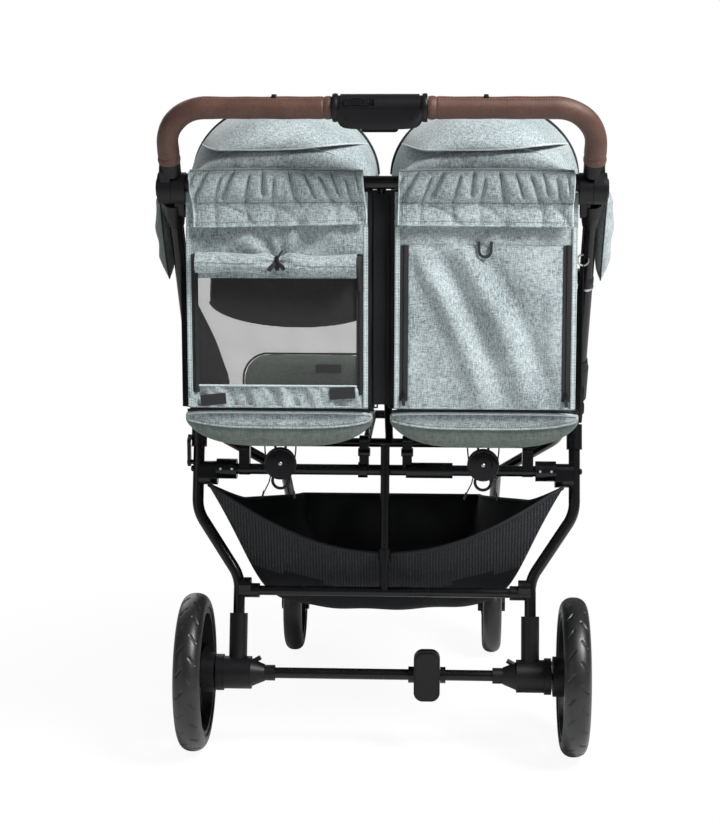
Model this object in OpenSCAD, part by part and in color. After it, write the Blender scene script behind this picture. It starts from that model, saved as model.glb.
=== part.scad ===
// Side by side double stroller, seats laid flat, canopies open, legs standing.
// +X is to the right seen from behind, +Y is forward, +Z is up, the ground is z = 0.

/* [Wheels] */
// Rear wheel diameter over the tyre
rear_wheel_d = 261; // [240:1:280]
// Rear tyre width
rear_tyre_w = 44; // [36:1:48]
// Front wheel diameter over the tyre
front_wheel_d = 190; // [170:1:200]
// Front tyre width
front_tyre_w = 36; // [30:1:40]
// Thickness of the rubber on the rim
tyre_depth = 24; // [18:1:28]
// Distance between the rear wheel middles
rear_track = 626; // [616:1:640]
// Distance between the front swivel axes
front_track = 386; // [370:1:400]
// Rear axle behind the origin
rear_axle_back = 250; // [240:1:260]
// Front wheel axle before the origin
front_axle_fore = 330; // [320:1:340]
// Swivel axis before the front wheel axle
trail = 35; // [28:1:40]

/* [Frame] */
// Diameter of the leg tubes
leg_d = 19; // [16:1:20]
// Diameter of the side tubes
side_d = 22; // [20:1:23]
// Middle of the side tube from the centre plane
side_x = 318; // [318:1:324]
// Fold hub axis behind the origin
hub_back = 130; // [126:1:134]
// Fold hub axis above the ground
hub_z = 560; // [555:1:565]
// Radius of the fold hub
hub_r = 25; // [23:1:26]
// Diameter of the fold pin
pin_d = 10; // [8:0.5:12]
// Width of the rear leg's tang in the hub
tang_w = 13.4; // [12:0.2:14]
// Thickness of a hub cheek
cheek_t = 5; // [4:0.5:6]
// Width of the front leg's knuckle
knuckle_w = 16; // [14:0.5:16]
// Lower end of the rear leg from the centre plane
leg_low_x = 242; // [238:1:246]
// Top of the rear leg's bend, along the leg from the hub
bend_top = 178; // [172:1:184]
// Bottom of the rear leg's bend, along the leg from the hub
bend_low = 288; // [282:1:294]
// Rear crossbar, along the leg from the hub
cross_at = 107; // [104:1:110]
// Basket bar, along the leg from the hub
basket_bar_at = 310; // [306:1:314]
// Diameter of the rear crossbar
cross_d = 18; // [16:1:18]
// Diameter of the rear axle tube
axle_d = 18; // [16:1:19]
// Length of the bare rear axle tube
axle_len = 360; // [350:1:370]

/* [Handle] */
// Handle hinge axis behind the origin
hinge_back = 385; // [382:1:388]
// Handle hinge axis above the ground
hinge_z = 935; // [930:1:940]
// Radius of the handle hinge
hinge_r = 24; // [22:1:25]
// Handlebar behind the origin
bar_back = 455; // [450:1:458]
// Handlebar above the ground
bar_z = 1055; // [1045:1:1065]
// Diameter of the bare handlebar tube
bar_d = 24; // [22:1:26]
// Diameter of the leather grip
grip_d = 34; // [32:1:36]
// Bend radius of the handlebar
bar_bend = 62; // [56:1:66]
// Length of the fold control housing
housing_len = 140; // [130:1:150]
// Travel of the fold trigger
trigger_travel = 7; // [5:0.5:8]
// Travel of the lock slider
slider_travel = 8; // [6:0.5:9]

/* [Seats] */
// Middle of a seat from the centre plane
seat_x = 158.5; // [158.5:0.5:159]
// Hip hinge before the origin
hip_fore = 30; // [28:1:32]
// Hip hinge above the ground
hip_z = 500; // [498:1:502]
// Length of a backrest from the hip
back_len = 420; // [418:1:422]
// Rise of the laid back backrest above level, degrees
back_rise = 10; // [9:0.5:11]
// Half width of a backrest at the hip
back_hip_w = 112; // [108:1:112]
// Half width of a backrest at its end roll
back_end_w = 146; // [142:1:146]
// Thickness of a backrest pad
back_pad_t = 28; // [24:1:30]
// Half width of a seat pad
seat_w = 136; // [130:1:138]
// Thickness of a seat pad
seat_pad_t = 26; // [22:1:28]
// Front tube of the seat base before the origin
seat_front = 285; // [282:1:288]
// Height of the raised leg rest above its hinge
leg_rest_h = 117; // [112:1:120]

/* [Canopy] */
// Canopy pivot behind the origin
canopy_back = 215; // [213:1:217]
// Canopy pivot above the ground
canopy_z = 790; // [788:1:792]
// Radius of the hood at its crown
hood_r = 272; // [269:1:274]
// Radius of the hood at its side rim
hood_side_r = 154; // [150:1:158]
// Half width of the hood
hood_w = 146.5; // [145:0.5:146.5]
// Thickness of the padded hood fabric
hood_t = 2.5; // [2:0.1:2.6]

/* [Soft goods] */
// Height of the bottom edge of the rear panels
panel_low = 609; // [608:1:612]
// Half width of a rear panel
panel_w = 138; // [130:1:140]
// Thickness of the panel fabric
panel_t = 3; // [2:0.5:4]
// Height of the sleeve hem that hangs from the top crossbar
hem_z = 880; // [874:1:886]
// Columns of the net in the open window
net_columns = 20; // [12:1:20]
// Rows of the net in the open window
net_rows = 14; // [10:1:15]
// Width of a net strand
net_strand = 1.6; // [1.2:0.1:2.2]

/* [Hidden] */
$fn = 48;
// Clearances: running fit of a pin, gap beside a moving face, push fit of a tube
fit = 0.1;
gap = 0.3;
seat_fit = 0.2;

// Fixed small sizes
cross_top_d = 20;
strut_d = 14;
rail_d = 14;
seat_cross_d = 16;
frame_d = 12;
hip_pin_d = 10;
stub_d = 12;
wheel_bolt_d = 8;
stem_d = 14;
canopy_pin_d = 8;
basket_bar_d = 16;
post_d = 15;
brake_pin_d = 6;
plate_t = 6;

// Main places in side view, as [y, z]
hub = [-hub_back, hub_z];
hinge = [-hinge_back, hinge_z];
bar = [-bar_back, bar_z];
hip = [hip_fore, hip_z];
pivot = [-canopy_back, canopy_z];
rear_axle = [-rear_axle_back, rear_wheel_d / 2];
front_axle = [front_axle_fore, front_wheel_d / 2];
swivel_y = front_axle_fore + trail;
crown_z = front_wheel_d + 5;
crown_t = 12;
housing_z0 = crown_z + crown_t + gap;
housing_h = 55;
swivel_top = [swivel_y, housing_z0 + housing_h / 2];

// Directions in side view, degrees from +Y towards +Z
leg_turn = atan2(rear_axle[1] - hub[1], rear_axle[0] - hub[0]);
fore_turn = atan2(swivel_top[1] - hub[1], swivel_top[0] - hub[0]);
fore_len = norm(swivel_top - hub);
side_turn = atan2(hinge[1] - hub[1], hinge[0] - hub[0]);
side_len = norm(hinge - hub);
arm_turn = atan2(bar[1] - hinge[1], bar[0] - hinge[0]);

// The stack of pieces on the fold pin, outwards along +X
leg_x = side_x - 3.2;
tang_x0 = leg_x - tang_w / 2;
tang_x1 = leg_x + tang_w / 2;
in_cheek_x0 = tang_x0 - gap - cheek_t;
out_cheek_x1 = tang_x1 + gap + cheek_t;
knuckle_x1 = in_cheek_x0 - gap;
knuckle_x0 = knuckle_x1 - knuckle_w;
fore_x = (knuckle_x0 + knuckle_x1) / 2;
seat_plate_x1 = min(knuckle_x0, fore_x - leg_d / 2) - gap;
seat_plate_x0 = seat_plate_x1 - plate_t;
inner_plate_x1 = 2 * seat_x - seat_plate_x0 + 3;
inner_plate_x0 = inner_plate_x1 - plate_t;

fore_low_x = front_track / 2;
rear_x = rear_track / 2;

// Colours
black = [0.07, 0.07, 0.08];
dark = [0.13, 0.13, 0.14];
rubber = [0.10, 0.10, 0.10];
leather = [0.36, 0.23, 0.19];
cloth = [0.60, 0.69, 0.68];
mesh_cloth = [0.05, 0.05, 0.06];

// A point at distance r and turn a from a side view place, at width x
function at(place, r, a, x) = [x, place[0] + r * cos(a), place[1] + r * sin(a)];
function unit(v) = v / norm(v);
function mix(a, b, t) = a + (b - a) * t;
// 0 to 1 with level ends
function ease(t) = t <= 0 ? 0 : t >= 1 ? 1 : t * t * (3 - 2 * t);

// Copy to the left side for side = -1
module on_side(side) {
    if (side > 0) children();
    else mirror([1, 0, 0]) children();
}

// Side view drawing, with its x along +Y and its y along +Z, as a plate from x0 to x1
module plate(x0, x1) {
    translate([x0, 0, 0]) rotate([90, 0, 90]) linear_extrude(x1 - x0) children();
}

// Turned part about an axis along +X through a side view place
module turned(place, x = 0) {
    translate([x, place[0], place[1]]) rotate([90, 0, 90]) children();
}

// Round bar along X
module bar_x(place, x0, x1, d) {
    turned(place, x0) cylinder(h = x1 - x0, d = d);
}

// Straight round bar between two points
module rod(a, b, d, d2 = 0) {
    v = b - a;
    translate(a) rotate([0, acos(v[2] / norm(v)), atan2(v[1], v[0])])
        cylinder(h = norm(v), d1 = d, d2 = d2 > 0 ? d2 : d);
}

// Straight length given up to the bend at point i of a path
function setback(p, i, r) =
    i <= 0 || i >= len(p) - 1 ? 0
    : r * tan(acos(unit(p[i] - p[i - 1]) * unit(p[i + 1] - p[i])) / 2);

// Quarter of a ring that joins the straight runs a-b and b-c
module elbow(a, b, c, r, d) {
    u = unit(b - a);
    w = unit(c - b);
    swing = acos(u * w);
    n = unit(w - u * (u * w));
    centre = b - u * (r * tan(swing / 2)) + n * r;
    ex = -n;
    ez = cross(ex, u);
    multmatrix([[ex[0], u[0], ez[0], centre[0]], [ex[1], u[1], ez[1], centre[1]],
                [ex[2], u[2], ez[2], centre[2]], [0, 0, 0, 1]])
        rotate_extrude(angle = swing) translate([r, 0]) circle(d = d);
}

// Round tube along straight runs joined by bends of radius r. A bend draws the tube in
// a little, and the straight runs lap onto it.
draw_in = 0.3;
bend_lap = 1;
module bent_tube(p, r, d) {
    for (i = [0:len(p) - 2]) {
        u = unit(p[i + 1] - p[i]);
        lap0 = i > 0 ? bend_lap : 0;
        lap1 = i < len(p) - 2 ? bend_lap : 0;
        rod(p[i] + u * (setback(p, i, r) - lap0), p[i + 1] - u * (setback(p, i + 1, r) - lap1), d);
    }
    for (i = [1:1:len(p) - 2]) elbow(p[i - 1], p[i], p[i + 1], r, d - draw_in);
}

// Flat outlines
module rounded(w, h, r) {
    square([w - 2 * r, h], center = true);
    square([w, h - 2 * r], center = true);
    for (x = [-1, 1], y = [-1, 1]) translate([x * (w / 2 - r), y * (h / 2 - r)]) circle(r);
}
// Bar with round ends that stand a little proud of its straight sides
link_proud = 0.2;
module link(a, b, w) {
    v = b - a;
    flat = w - 2 * link_proud;
    translate(a) rotate(atan2(v[1], v[0])) translate([0, -flat / 2]) square([norm(v), flat]);
    translate(a) circle(d = w);
    translate(b) circle(d = w);
}

// Closed body between two grids of points with the same rows and columns
module slab(a, b) {
    rows = len(a);
    cols = len(a[0]);
    n = rows * cols;
    points = [for (g = [a, b]) for (r = g) each r];
    rim = concat([for (j = [0:cols - 2]) j],
                 [for (i = [0:rows - 2]) i * cols + cols - 1],
                 [for (j = [cols - 1:-1:1]) (rows - 1) * cols + j],
                 [for (i = [rows - 1:-1:1]) i * cols]);
    m = len(rim);
    faces = concat(
        [for (i = [0:rows - 2], j = [0:cols - 2]) let (k = i * cols + j) each
            [[k, k + cols + 1, k + 1], [k, k + cols, k + cols + 1]]],
        [for (i = [0:rows - 2], j = [0:cols - 2]) let (k = n + i * cols + j) each
            [[k, k + 1, k + cols + 1], [k, k + cols + 1, k + cols]]],
        [for (q = [0:m - 1]) let (e = rim[q], f = rim[(q + 1) % m]) each
            [[e, f, f + n], [e, f + n, e + n]]]);
    polyhedron(points, faces);
}

// Main frame

side_socket = 94;
// The side tube starts beyond the rounded ends of the hub cheeks
side_tube_start = 68;
side_tube_end = hinge_r + 4;
function side_path() = [at(hub, side_tube_start, side_turn, side_x),
                        at(hub, side_len - side_tube_end, side_turn, side_x)];
canopy_plate_x = seat_x + hood_w + 3;

module side_tube(side) color(black) on_side(side) {
    path = side_path();
    rod(path[0], path[1], side_d);
    // Canopy bracket that reaches forward from the tube to the canopy pivot
    plate(canopy_plate_x, canopy_plate_x + plate_t)
        link([hub[0] + (pivot[1] - hub[1]) / tan(side_turn), pivot[1]], pivot, 22);
    bar_x(pivot, canopy_plate_x - 3, canopy_plate_x + 1, canopy_pin_d);
}

module fold_hub(side) color(dark) on_side(side) {
    path = side_path();
    difference() {
        union() {
            for (x = [in_cheek_x0, tang_x1 + gap])
                plate(x, x + cheek_t) link(hub, hub + 40 * [cos(side_turn), sin(side_turn)], 2 * hub_r);
            rod(at(hub, hub_r + 1.5, side_turn, side_x), at(hub, side_socket, side_turn, side_x),
                side_d + 8);
            rod(at(hub, side_socket - 1, side_turn, side_x), at(hub, side_socket + 16, side_turn, side_x),
                side_d + 7, side_d + 3);
        }
        rod(path[0], path[1], side_d + seat_fit);
    }
    // Fold pin through both cheeks and both leg ends to the seat plate, with a domed head
    bar_x(hub, seat_plate_x0 - 2, out_cheek_x1 + 1, pin_d);
    turned(hub, out_cheek_x1 - 0.5) cylinder(h = 4.5, d1 = 26, d2 = 18);
}

strut_foot = [hip_fore + 18, hip_z - 34];
top_bar = [-hinge_back - 5, hinge_z + 9];
hinge_in_x0 = side_x - 21;
module top_crossbar() color(black) {
    bar_x(top_bar, -hinge_in_x0 - 12, hinge_in_x0 + 12, cross_top_d);
    // Centre strut down to the seat base, with the inner canopy bracket
    strut_end = strut_foot + (seat_cross_d / 2 + gap) * unit(top_bar - strut_foot);
    rod([0, top_bar[0], top_bar[1]], [0, strut_end[0], strut_end[1]], strut_d);
    at_pivot = mix(top_bar[0], strut_foot[0], (top_bar[1] - pivot[1]) / (top_bar[1] - strut_foot[1]));
    in_x = seat_x - hood_w - 3;
    plate(-in_x, in_x) link([at_pivot, pivot[1]], pivot, 22);
    bar_x(pivot, -in_x - 3, in_x + 3, canopy_pin_d);
}

module hinge_lower(side) color(dark) on_side(side) {
    path = side_path();
    down = side_turn + 180;
    socket = hinge_r + 24;
    difference() {
        union() {
            bar_x(hinge, hinge_in_x0, side_x - gap, 2 * hinge_r);
            // Socket that tapers onto the side tube
            rod(at(hinge, hinge_r + 2, down, side_x), at(hinge, socket, down, side_x), side_d + 10);
            rod(at(hinge, socket - 1, down, side_x), at(hinge, socket + 20, down, side_x), side_d + 9, side_d + 3);
            plate(hinge_in_x0 + 4, side_x - 3) link(hinge, hinge + 38 * [cos(down), sin(down)], 28);
            bar_x(top_bar, hinge_in_x0 - 6, hinge_in_x0 + 4, cross_top_d + 7);
        }
        rod(path[0], path[1], side_d + seat_fit);
        bar_x(top_bar, 0, hinge_in_x0 + 12 + gap, cross_top_d + seat_fit);
    }
    // Hinge pin
    bar_x(hinge, hinge_in_x0 + 14, side_x + 14, pin_d);
}

// Seat base: rails, cross tubes and the plates that hang it on the fold pins
module seat_base() color(black) {
    rail_z = hip_z - 22;
    inner_rail_x = inner_plate_x0 + plate_t / 2;
    outer_rail_x = seat_plate_x0 + plate_t / 2;
    for (side = [-1, 1]) on_side(side) {
        difference() {
            union() {
                plate(seat_plate_x0, seat_plate_x1) {
                    link(hub, hip + [0, -8], 16);
                    link(hip + [0, -8], hip, 26);
                    translate(hub) circle(hub_r - 3);
                }
                plate(inner_plate_x0, inner_plate_x1) link([hip_fore + 6, rail_z], hip, 24);
            }
            bar_x(hub, seat_plate_x0 - 3, seat_plate_x1 + 3, pin_d + fit);
            bar_x(hip, 0, seat_plate_x1 + 3, hip_pin_d + fit);
        }
        for (x = [inner_rail_x, outer_rail_x])
            rod([x, hip_fore - 4, rail_z], [x, seat_front, rail_z], rail_d);
    }
    bar_x([seat_front, rail_z], -outer_rail_x - 4, outer_rail_x + 4, seat_cross_d);
    bar_x(strut_foot, -outer_rail_x - 2, outer_rail_x + 2, seat_cross_d);
}

// Crowned pad: half width as a function of t, drawn in sides, from y0 to y1
pad_u = 10;
pad_v = 12;
function crown(u, v) = (1 - pow(abs(2 * u - 1), 4)) * (1 - pow(abs(2 * v - 1), 6));

module seat_pad(side) {
    y0 = hip_fore + 19;
    y1 = seat_front - 27;
    base = hip_z - 22 + rail_d / 2 + gap;
    function px(u, v) = seat_x + (2 * u - 1) * seat_w * (1 - 0.03 * sin(180 * v));
    function py(v) = mix(y0, y1, v);
    color(cloth) on_side(side) slab(
         [for (i = [0:pad_v]) let (v = i / pad_v) [for (j = [0:pad_u]) let (u = j / pad_u)
              [px(u, v), py(v), base + 8 + (seat_pad_t - 8) * crown(u, v)]]],
         [for (i = [0:pad_v]) let (v = i / pad_v) [for (j = [0:pad_u]) let (u = j / pad_u)
              [px(u, v), py(v), base]]]);
}

// Rear panels that hang from the top crossbar to the end of each backrest
panel_y = top_bar[0] - 1;
panel_top = top_bar[1] - cross_top_d / 2 - 4;

module rear_panel_left() color(cloth) {
    window_h = 166;
    window_low = panel_low + 24;
    inner = panel_w - 16;
    cell_w = 2 * inner / net_columns;
    cell_h = window_h / net_rows;
    translate([-seat_x, panel_y + panel_t / 2, 0]) rotate([90, 0, 0]) linear_extrude(panel_t)
        difference() {
            translate([-panel_w, panel_low]) square([2 * panel_w, panel_top - panel_low]);
            for (i = [0:net_columns - 1], j = [0:net_rows - 1])
                translate([-inner + i * cell_w + net_strand / 2, window_low + j * cell_h + net_strand / 2])
                    square([cell_w - net_strand, cell_h - net_strand]);
        }
    // Rolled up flap, drawn in where its loop ties it
    roll_z = window_low + window_h + 21;
    translate([-seat_x, panel_y - panel_t / 2 - 13.5, roll_z]) rotate([0, 90, 0]) rotate_extrude()
        polygon([for (i = [0:16]) let (t = i / 8 - 1)
                     [13 - 4 * exp(-pow(t / 0.12, 2)), t * (panel_w - 6)],
                 [0, panel_w - 6], [0, 6 - panel_w]]);
    // Waist of the roll sewn to the panel by its loop
    translate([-seat_x - 7, panel_y - panel_t / 2 - 6.5, roll_z - 3]) cube([14, 6.6, 6]);
}

module rear_panel_right() {
    n = 16;
    function fold(u, v) = 2.6 * sin(180 * u) * sin(180 * v)
        * (sin(360 * (1.1 * u + 1.5 * v)) + 0.6 * sin(360 * (2.1 * u - 1.2 * v) + 40));
    function px(u) = seat_x + (2 * u - 1) * panel_w;
    color(cloth) slab(
         [for (i = [0:n]) let (v = i / n) [for (j = [0:n]) let (u = j / n)
              [px(u), panel_y - panel_t / 2 - 3 - fold(u, v), mix(panel_low, panel_top, v)]]],
         [for (i = [0:n]) let (v = i / n) [for (j = [0:n]) let (u = j / n)
              [px(u), panel_y + panel_t / 2 - 3 - fold(u, v), mix(panel_low, panel_top, v)]]]);
}

// Gathered sleeves over the top crossbar, one per canopy
module sleeve(side) {
    n = 22;
    wrap = 9;
    r0 = cross_top_d / 2 + gap;
    hang = top_bar[1] - hem_z;
    // Angle round the bar, then straight down the back to the hem
    function place(r, v) = v < 0.6
        ? [top_bar[0] + r * cos(200 * v / 0.6 - 20), top_bar[1] + r * sin(200 * v / 0.6 - 20)]
        : [top_bar[0] - r, top_bar[1] - hang * (v - 0.6) / 0.4];
    function ruck(u, v) = 1.1 * sin(360 * 7 * u + 50 * sin(360 * 2 * u)) * ease(v * 1.6);
    function px(u) = side * seat_x + (2 * u - 1) * (hood_w - 16);
    function row(v, r) = [for (j = [0:n]) let (u = j / n, q = place(r + ruck(u, v) + 1.1, v)) [px(u), q[0], q[1]]];
    color(cloth) slab([for (i = [0:wrap]) row(i / wrap, r0)], [for (i = [0:wrap]) row(i / wrap, r0 + 3)]);
}

// Hood outline: half an oval over the side rims
hood_n = 22;
function hood_arc(w, r0, r1) = [for (i = [0:hood_n]) let (f = 180 * i / hood_n)
                                [r0 + (r1 - r0) * sin(f), -w * cos(f)]];
function hood_profile(w, r, rim) = concat(
    hood_arc(w, rim, r), [for (i = [hood_n:-1:0]) hood_arc(w - hood_t, rim, r - hood_t)[i]]);
hood_split = 42;
hood_rear = 129;
hood_front = -25;
module hood_shell(w, r, rim, a0, a1) {
    rotate([0, 0, a0]) rotate_extrude(angle = a1 - a0) polygon(hood_profile(w, r, rim));
}

band_y = pivot[0] + hood_r * cos(hood_rear);
module canopy_rear(side) color(cloth) on_side(side) {
    turned(pivot, seat_x) hood_shell(hood_w, hood_r, hood_side_r, hood_split, hood_rear);
    // Upright band that closes the back of the hood down to the sleeve
    band_low = top_bar[1] + cross_top_d / 2 + 8;
    translate([seat_x, band_y + 1.4, 0]) rotate([90, 0, 0]) linear_extrude(hood_t) difference() {
        translate([0, pivot[1]]) polygon([for (i = [0:hood_n]) let (q = hood_arc(hood_w, hood_side_r, hood_r)[i])
                                          [q[1], q[0] * sin(hood_rear)]]);
        translate([-200, 0]) square([400, band_low]);
    }
    // Side wing of the canopy outside the side tube
    wing = side_x + side_d / 2 + 5 + gap;
    plate(wing, wing + 12) translate([pivot[0] - 71, pivot[1] + 69]) rotate(side_turn - 90) rounded(92, 150, 24);
    // Gusset from the hood's rim to the wing
    plate(seat_x + hood_w - 2, wing + 1) translate(pivot) rotate(hood_rear - 10)
        translate([hood_side_r - 3, -2]) square([17, 4]);
}

// Front hood section, which slides back inside the rear one
front_w = hood_w - hood_t - 0.6;
front_r = hood_r - hood_t - 0.6;
module canopy_front(side) color(cloth) on_side(side) {
    rim = hood_side_r - 12;
    turned(pivot, seat_x) hood_shell(front_w, front_r, rim, hood_front, hood_split + 4);
    // Bow arms from the rim to the pivot on both sides
    arm_turn_0 = 5;
    for (s = [-1, 1]) {
        x_out = s * (hood_w + 2.7);
        x_in = s * (hood_w + 0.3);
        difference() {
            union() {
                plate(seat_x + min(x_in, x_out), seat_x + max(x_in, x_out)) {
                    link(pivot, pivot + (rim + 6) * [cos(arm_turn_0), sin(arm_turn_0)], 12);
                    translate(pivot) circle(11);
                }
                bar_x(pivot + (rim + 4) * [cos(arm_turn_0), sin(arm_turn_0)],
                      seat_x + min(x_out, s * (front_w - hood_t - 0.5)),
                      seat_x + max(x_out, s * (front_w - hood_t - 0.5)), 7);
            }
            bar_x(pivot, 0, canopy_plate_x, canopy_pin_d + fit);
        }
    }
}

// Reclining backrests

// Frame of a backrest: along -Y from the hip, +Z is its padded face
module on_back(side) {
    on_side(side) translate([seat_x, hip_fore, hip_z]) rotate([-back_rise, 0, 0]) children();
}
frame_w = 98;
frame_end = back_len - 36;
module backrest_frame(side) color(black) on_back(side) {
    translate([inner_plate_x0 - seat_x, 0, 0]) rotate([0, 90, 0])
        cylinder(h = seat_plate_x1 - inner_plate_x0, d = hip_pin_d);
    bent_tube([[-frame_w, 0, 0], [-frame_w, -frame_end, 0], [frame_w, -frame_end, 0], [frame_w, 0, 0]],
              40, frame_d);
}

// The pad widens between these places along it
flare_0 = 0.467 * back_len;
flare_1 = 0.714 * back_len;
function back_w(t) =
    t < flare_0 ? back_hip_w
    : t < flare_1 ? mix(back_hip_w, back_hip_w + 23, ease((t - flare_0) / (flare_1 - flare_0)))
    : t < back_len - 27 ? back_hip_w + 23
    : mix(back_hip_w + 23, back_end_w, ease((t - back_len + 27) / 4));
module backrest_pad(side) {
    body_end = back_len - 28;
    stops = concat(14, [for (s = [0.153, 0.306, 0.485, 0.574, 0.663, 0.765, 0.867, 1]) s * body_end],
                   [back_len - 23, back_len - 12, back_len]);
    low = frame_d / 2 + gap;
    function drop(t) = t < back_len - 25 ? low : -low - 24;
    function puff(u, t) = (1 - pow(abs(2 * u - 1), 4)) * sin(180 * min(1, max(0.04, (t - 10) / (back_len - 8))));
    color(cloth) on_back(side) slab(
         [for (t = stops) [for (j = [0:pad_u]) let (u = j / pad_u)
              [(2 * u - 1) * back_w(t), -t, low + 14 + (back_pad_t - 14) * puff(u, t)]]],
         [for (t = stops) [for (j = [0:pad_u]) let (u = j / pad_u)
              [(2 * u - 1) * back_w(t), -t, drop(t)]]]);
}

// Recline adjuster disc on its two cords under the rear tube of the backrest frame
module recline_disc(side) color(black) on_back(side) {
    disc_t = 11;
    hang = 62;
    top = frame_d / 2 + gap;
    translate([0, -frame_end, -hang]) rotate([90 - back_rise, 0, 0]) difference() {
        cylinder(h = disc_t, d = 50, center = true);
        translate([0, 0, disc_t / 2 - 2]) cylinder(h = 3, d = 30);
    }
    for (x = [-12, 12])
        rod([x * 0.6, -frame_end, -hang + 20], [x, -frame_end, -top], 4);
}

// Leg rests, raised
board_low = seat_cross_d / 2 + 4;
barrel_x = 76;
barrel_w = 30;
notch = barrel_w / 2 + 0.5;
corner = 48;
calf_v = 10;
calf_t = 20;
function calf_z(v) = mix(board_low + 4, leg_rest_h - 2, v);
function calf_x(u, v) = (2 * u - 1)
    * (seat_w - 10 - corner + sqrt(corner * corner - pow(max(0, calf_z(v) - leg_rest_h + corner), 2)));
module leg_rest(side) color(cloth) on_side(side) {
    rail_z = hip_z - 22;
    translate([seat_x, seat_front, rail_z]) {
        // Board with round upper corners, carried by two barrels on the front tube
        difference() {
            union() {
                translate([0, 4, 0]) rotate([90, 0, 0]) linear_extrude(8) {
                    translate([-seat_w + 8, 0]) square([2 * seat_w - 16, leg_rest_h - corner]);
                    translate([-seat_w + 8 + corner, 0]) square([2 * (seat_w - 8 - corner), leg_rest_h]);
                    for (x = [-1, 1]) translate([x * (seat_w - 8 - corner), leg_rest_h - corner]) circle(corner);
                }
                for (x = [-barrel_x, barrel_x]) translate([x - barrel_w / 2, 0, 0]) rotate([0, 90, 0])
                    cylinder(h = barrel_w, d = seat_cross_d + 8);
            }
            translate([-seat_w, 0, 0]) rotate([0, 90, 0]) cylinder(h = 2 * seat_w, d = seat_cross_d + fit);
            for (span = [[-seat_w, -barrel_x - notch], [notch - barrel_x, barrel_x - notch], [barrel_x + notch, seat_w]])
                translate([span[0], -14, -14]) cube([span[1] - span[0], 28, 14 + board_low]);
        }
        // Crowned calf pad on the rear face of the board
        slab([for (i = [0:calf_v]) let (v = i / calf_v) [for (j = [0:pad_u]) let (u = 1 - j / pad_u)
                 [calf_x(u, v), -3.9, calf_z(v)]]],
             [for (i = [0:calf_v]) let (v = i / calf_v) [for (j = [0:pad_u]) let (u = 1 - j / pad_u)
                 [calf_x(u, v), -8 - (calf_t - 8) * crown(u, v), calf_z(v)]]]);
    }
}

// Handle

function bar_path() = [at(hinge, hinge_r + 8, arm_turn, -side_x), [-side_x, bar[0], bar[1]],
                       [side_x, bar[0], bar[1]], at(hinge, hinge_r + 8, arm_turn, side_x)];
module handlebar() color(dark) bent_tube(bar_path(), bar_bend, bar_d);

grip_end = hinge_r + 22;
module grips() color(leather) for (side = [-1, 1]) on_side(side) {
    half = [[housing_len / 2, bar[0], bar[1]], [side_x, bar[0], bar[1]],
            at(hinge, grip_end, arm_turn, side_x)];
    difference() {
        bent_tube(half, bar_bend, grip_d);
        bent_tube([half[0] - [1, 0, 0], half[1], at(hinge, grip_end - 1, arm_turn, side_x)], bar_bend,
                  bar_d + seat_fit);
    }
}

module hinge_upper(side) color(dark) on_side(side) {
    x0 = side_x + gap;
    difference() {
        union() {
            bar_x(hinge, x0, x0 + 20, 2 * hinge_r);
            turned(hinge, x0 + 20) cylinder(h = 3, d1 = 34, d2 = 28);
            rod(at(hinge, hinge_r + 2, arm_turn, side_x), at(hinge, grip_end - gap, arm_turn, side_x), grip_d - 2);
            plate(x0, x0 + 15)
                link(hinge, hinge + (grip_end - 16) * [cos(arm_turn), sin(arm_turn)], 30);
        }
        rod(at(hinge, hinge_r + 8 - gap, arm_turn, side_x), at(hinge, 80, arm_turn, side_x), bar_d + seat_fit);
        bar_x(hinge, x0 - 1, x0 + 14, pin_d + fit);
    }
}

// Fold control in the middle of the bar
housing_d = 40;
trigger_w = 54;
slider_proud = 1.5;
module fold_housing() color(black) {
    half = housing_len / 2 - gap;
    difference() {
        union() {
            bar_x(bar, -half + 12, half - 12, housing_d);
            for (s = [-1, 1]) turned(bar, s > 0 ? half - 12 : -half) cylinder(h = 12, d = housing_d - 4);
            translate([-half + 16, bar[0] - 15, bar[1] - 29]) cube([2 * half - 32, 30, 20]);
        }
        bar_x(bar, -half - 1, half + 1, bar_d + seat_fit);
        // Well for the trigger below and slot for the lock slider behind
        translate([-trigger_w / 2 - gap, bar[0] - 11 - gap, bar[1] - 30])
            cube([trigger_w + 2 * gap, 22 + 2 * gap, 30 - bar_d / 2 - 1]);
        translate([-52, bar[0] - housing_d / 2 - 1, bar[1] + 3]) cube([36 + slider_travel, 6, 10]);
    }
}
module fold_trigger() color(dark) {
    translate([0, bar[0] + 11, bar[1] - 35.5]) rotate([90, 0, 0]) linear_extrude(22)
        translate([0, (22.5 - trigger_travel) / 2]) rounded(trigger_w, 22.5 - trigger_travel, 5);
}
module lock_slider() color(dark) {
    translate([-52 + gap, bar[0] - housing_d / 2 - slider_proud, bar[1] + 3 + gap]) difference() {
        cube([36 - 2 * gap, 6.5 - gap, 10 - 2 * gap]);
        for (i = [0:4]) translate([6 + i * 5, -1, -1]) cube([1.6, 2, 12]);
    }
}

// Front legs

function fore_path() = [at(hub, 14, fore_turn, fore_x), at(hub, 128, fore_turn, fore_x),
                        at(hub, 292, fore_turn, fore_low_x), at(hub, fore_len - 12, fore_turn, fore_low_x)];
module front_leg(side) color(black) on_side(side) {
    difference() {
        union() {
            bar_x(hub, knuckle_x0, knuckle_x1, 2 * hub_r - 4);
            bent_tube(fore_path(), 70, leg_d - 3.5);
            bent_tube([at(hub, 30, fore_turn, fore_x), fore_path()[1], fore_path()[2],
                       at(hub, fore_len - 30, fore_turn, fore_low_x)], 70, leg_d);
        }
        bar_x(hub, knuckle_x0 - 1, knuckle_x1 + 1, pin_d + fit);
    }
}

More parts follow.
